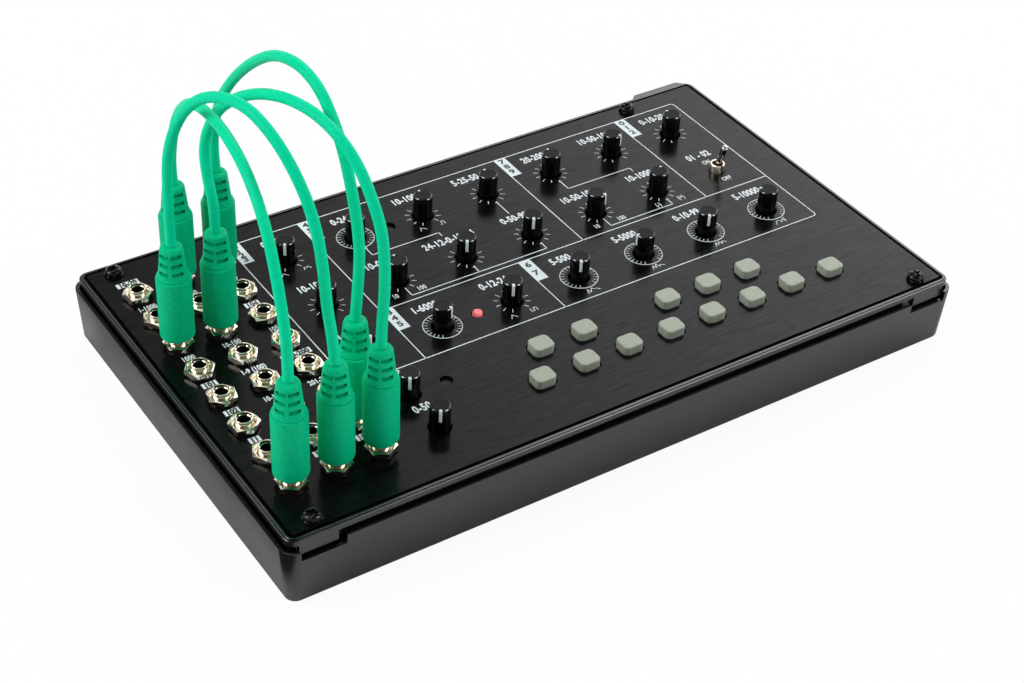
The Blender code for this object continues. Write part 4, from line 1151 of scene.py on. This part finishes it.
def makeToggle():
    radius = toggle["radius"]
    rise = toggle["rise"]
    opening = toggle["opening"]
    bushing = turned((
        (radius, -1.9), (radius, 0.4), (radius - 0.04, rise - 0.3), (radius - 0.1, rise - 0.14),
        (radius - 0.24, rise), (opening + 0.16, rise), (opening, rise - 0.12), (opening, 0.2),
        (opening - 0.1, 0.1), (opening - 0.1, -1.9),
    ), 56, True)
    half = toggle["keyway"] / 2
    keyway = block((-half, -radius - 1, -0.6), (half, 1.0 - radius, rise + 1))
    bushing = cutShape(bushing, keyway)
    sleeve = turned((
        (0, -1.6), (opening - 0.15, -1.6), (opening - 0.15, 1.2), (1.35, 1.45), (1.15, 0.9),
        (0, 0.9),
    ), 40)
    body = block((-4, -6, -11.7), (4, 6, underPanel), 0.3)
    lever = turned((
        (0, -1.1), (0.6, -0.92), (0.9, -0.45), (1.02, 0), (1.02, 0.4), (0.96, 0.8), (0.96, 1.5),
        (0.98, 3.6), (1.05, 7.2), (1.08, 8.2), (1.06, 8.42), (0.92, 8.7), (0.8, 8.79), (0.5, 8.8),
        (0.4, 8.7), (0.36, 8.1), (0, 7.95),
    ), 40)
    x, y = togglePlace
    place = move(x, y)
    addPiece(
        bushing, "toggleBushing", "case", [bushingNickel], ("toggle_body",),
        place=place,
    )
    addShape(body, sleeve)
    addPiece(
        body, "toggleBody", "case", [socketPlastic], ("toggle_body",), place=place,
    )
    addPiece(
        lever, "toggleLever", "toggle_lever", [leverChrome], ("toggle_lever",),
        place=move(x, y, toggle["pivot"]) @ turn(toggle["lean"], "X"),
    )


makeToggle()

# Indicator light: a lit lens with a dimpled top. The unlit ones are dark holes in the panel.

lamp = turned((
    (0, -11.7), (1.55, -11.7), (1.55, 0.25), (1.5, 0.42), (1.36, 0.62), (1.1, 0.78),
    (0.8, 0.84), (0.5, 0.8), (0.28, 0.66), (0, 0.58),
), 40)
addPiece(
    lamp, "lampLens", "case", [lampResin], ("indicator_led",),
    place=move(*layout["light"]),
)

# Screws: domed heads with a cross recess on small washers

screw = {"top": 2.35, "recess": 2.9, "slot": 0.75, "depth": 1.1}


def makeScrew():
    top = screw["top"]
    body = turned((
        (0, -6.0), (1.2, -6.0), (1.45, -5.7), (1.45, 0.1), (2.6, 0.1), (2.75, 0.2), (2.75, 0.4),
        (2.6, 0.5), (2.45, 0.5), (2.55, 0.65), (2.55, 1.05), (2.45, 1.45), (2.2, 1.85),
        (1.75, 2.17), (1.2, top - 0.03), (0.6, top), (0, top),
    ), 48)
    long = screw["recess"] / 2
    wide = screw["slot"] / 2
    for x, y in ((long, wide), (wide, long)):
        body = cutShape(body, block((-x, -y, top - screw["depth"]), (x, y, top + 1)))
    return body


screwShape = makeScrew()
for number, (x, y) in enumerate(layout["screws"], 1):
    node = f"panel_screw_{number}"
    addPiece(
        screwShape.copy(), f"screwHead{number}", "case", [screwSteel], (node,),
        place=move(x, y) @ turn(20 + 31 * number),
    )
print("switch, lights and screws made")

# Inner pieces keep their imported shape, in a merged copy with a finish for each sort of part

def dressCopy(node, name, materials, choose):
    bm = bmesh.new()
    bm.from_mesh(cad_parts[node].data)
    bmesh.ops.remove_doubles(bm, verts=bm.verts, dist=0.00001)
    toPanel = fromPanel.inverted()
    for face in bm.faces:
        face.material_index = choose(toPanel @ face.calc_center_median())
    bmesh.ops.transform(bm, matrix=toPanel, verts=bm.verts)
    addPiece(bm, name, "case", materials, (node,))


boardTop = -11.9
dressCopy(
    "control_board", "controlCircuit", [boardMask, socketPlastic],
    lambda p: 0 if p.z < boardTop else 1,
)
inletX, inletZ = case["inlet"]
dressCopy(
    "power_inlet", "powerSocket", [socketPlastic, jackNickel],
    lambda p: 1 if math.hypot(p.x - inletX, p.z - inletZ) < 1.05 and p.y > 122 else 0,
)
print("inner pieces made")

# Studio: a pale floor, a white surround and large soft lamps

studio = {
    "ambient": 0.11, "floor": "#F0F0F0", "glow": 0.93, "glowSpan": (0.08, 0.3),
    # the left shade and its span paint shade on the floor's left, seen only in gloss
    "horizon": 0.38, "paintedLeftShade": 0.97, "paintedShadeSpan": (-0.128, -0.119),
}


def makeFloor():
    bm = bmesh.new()
    bmesh.ops.create_grid(bm, x_segments=1, y_segments=1, size=4)
    mesh = bpy.data.meshes.new("floor")
    bm.to_mesh(mesh)
    bm.free()
    material, tree, shader, place = newMaterial("studioPaper", studio["floor"], 0.9)
    path = addNode(tree, "LightPath", {})
    glow = addNode(tree, "Emission", {"Color": (1, 1, 1, 1), "Strength": 1.0})
    # the eye sees the paper whiter the farther it lies from the object and its shadow
    reach = addNode(tree, "VectorMath", {"operation": "LENGTH"}, {0: place})
    near, far = studio["glowSpan"]
    whiter = addNode(
        tree, "MapRange",
        {"From Min": near, "From Max": far, "To Min": studio["glow"], "To Max": 1.0},
        {"Value": reach.outputs["Value"]},
    )
    share = addNode(
        tree, "Math", {"operation": "MULTIPLY"},
        {0: path.outputs["Is Camera Ray"], 1: whiter.outputs["Result"]},
    )
    blend = addNode(
        tree, "MixShader", {},
        {0: share.outputs["Value"], 1: shader.outputs["BSDF"], 2: glow.outputs["Emission"]},
    )
    output = tree.nodes["Material Output"]
    tree.links.new(blend.outputs["Shader"], output.inputs["Surface"])
    # painted shade: gloss sees the paper darker on the left of the object, though no card or lamp
    # shades it there
    axes = addNode(tree, "SeparateXYZ", {}, {"Vector": place})
    outer, inner = studio["paintedShadeSpan"]
    left = addNode(
        tree, "MapRange",
        {"From Min": outer, "From Max": inner, "To Min": studio["paintedLeftShade"], "To Max": 0},
        {"Value": axes.outputs["X"]},
    )
    seen = addNode(
        tree, "Math", {"operation": "MULTIPLY"},
        {0: left.outputs["Result"], 1: path.outputs["Is Glossy Ray"]},
    )
    paper = addNode(
        tree, "Mix", {"data_type": "RGBA", 6: linear(studio["floor"]), 7: linear("#000000")},
        {0: seen.outputs["Value"]},
    )
    tree.links.new(paper.outputs[2], shader.inputs["Base Color"])
    mesh.materials.append(material)
    floor = bpy.data.objects.new("floor", mesh)
    scene.collection.objects.link(floor)


# The surround is white to the eye and lights the object evenly at the ambient level. Gloss sees
# it white up to the horizon's height and dark above, where only the lamps stand out.
def makeWorld():
    world = bpy.data.worlds.new("studio")
    scene.world = world
    world.use_nodes = True
    tree = world.node_tree
    background = tree.nodes["Background"]
    path = addNode(tree, "LightPath", {})
    coords = addNode(tree, "TexCoord", {})
    axes = addNode(tree, "SeparateXYZ", {}, {"Vector": coords.outputs["Generated"]})
    low = studio["horizon"]
    above = addNode(
        tree, "MapRange",
        {"From Min": low, "From Max": low + 0.12, "To Min": 1.0, "To Max": 0.04},
        {"Value": axes.outputs["Z"]},
    )
    eye = addNode(
        tree, "Math", {"operation": "MAXIMUM"},
        {0: path.outputs["Is Camera Ray"], 1: path.outputs["Is Transmission Ray"]},
    )
    seen = addNode(
        tree, "Math", {"operation": "MAXIMUM"},
        {0: eye.outputs["Value"], 1: above.outputs["Result"]},
    )
    direct = addNode(
        tree, "Math", {"operation": "MAXIMUM"},
        {0: eye.outputs["Value"], 1: path.outputs["Is Glossy Ray"]},
    )
    level = addNode(
        tree, "Mix", {"data_type": "FLOAT", 2: studio["ambient"]},
        {0: direct.outputs["Value"], 3: seen.outputs["Value"]},
    )
    tree.links.new(level.outputs[0], background.inputs["Strength"])
    background.inputs["Color"].default_value = (1, 1, 1, 1)


# A soft lamp in a direction from the object, azimuth from the back towards the right, with its
# surface's own brightness. A fade is a shade over part of it, (start, across, up).
def addLamp(name, azimuth, elevation, distance, size, brightness, fade=None):
    a = math.radians(azimuth)
    e = math.radians(elevation)
    place = Vector((math.sin(a) * math.cos(e), math.cos(a) * math.cos(e), math.sin(e))) * distance
    data = bpy.data.lights.new(name, "AREA")
    data.shape = "RECTANGLE"
    data.size, data.size_y = size
    data.energy = brightness * math.pi * size[0] * size[1]
    if fade:
        start, side, up = fade
        data.use_nodes = True
        tree = data.node_tree
        surface = addNode(tree, "NewGeometry", {})
        axes = addNode(tree, "SeparateXYZ", {}, {"Vector": surface.outputs["Parametric"]})
        across = addNode(
            tree, "Math", {"operation": "MULTIPLY_ADD", 1: -side, 2: start},
            {0: axes.outputs["X"]},
        )
        both = addNode(
            tree, "Math", {"operation": "MULTIPLY_ADD", 1: -up},
            {0: axes.outputs["Y"], 2: across.outputs["Value"]},
        )
        kept = addNode(tree, "Clamp", {"Min": 0.03, "Max": 1.25}, {"Value": both.outputs["Value"]})
        tree.links.new(kept.outputs["Result"], tree.nodes["Emission"].inputs["Strength"])
    lamp = bpy.data.objects.new(name, data)
    lamp.location = place
    lamp.rotation_mode = "QUATERNION"
    lamp.rotation_quaternion = (-place).to_track_quat("-Z", "Y")
    lamp.visible_camera = False
    scene.collection.objects.link(lamp)


makeFloor()
makeWorld()
addLamp("backLamp", 46, 37, 1.5, (1.9, 0.8), 2.6, (2.273, 2.37, 0.1))
addLamp("topLamp", -20, 78, 1.3, (0.9, 0.7), 1.2)
addLamp("leftLamp", -73, 36, 1.3, (0.7, 0.7), 7.2)
addLamp("rightLamp", 138, 38, 1.4, (0.6, 0.7), 7.0)
scene.view_settings.view_transform = "Standard"
print("studio made")
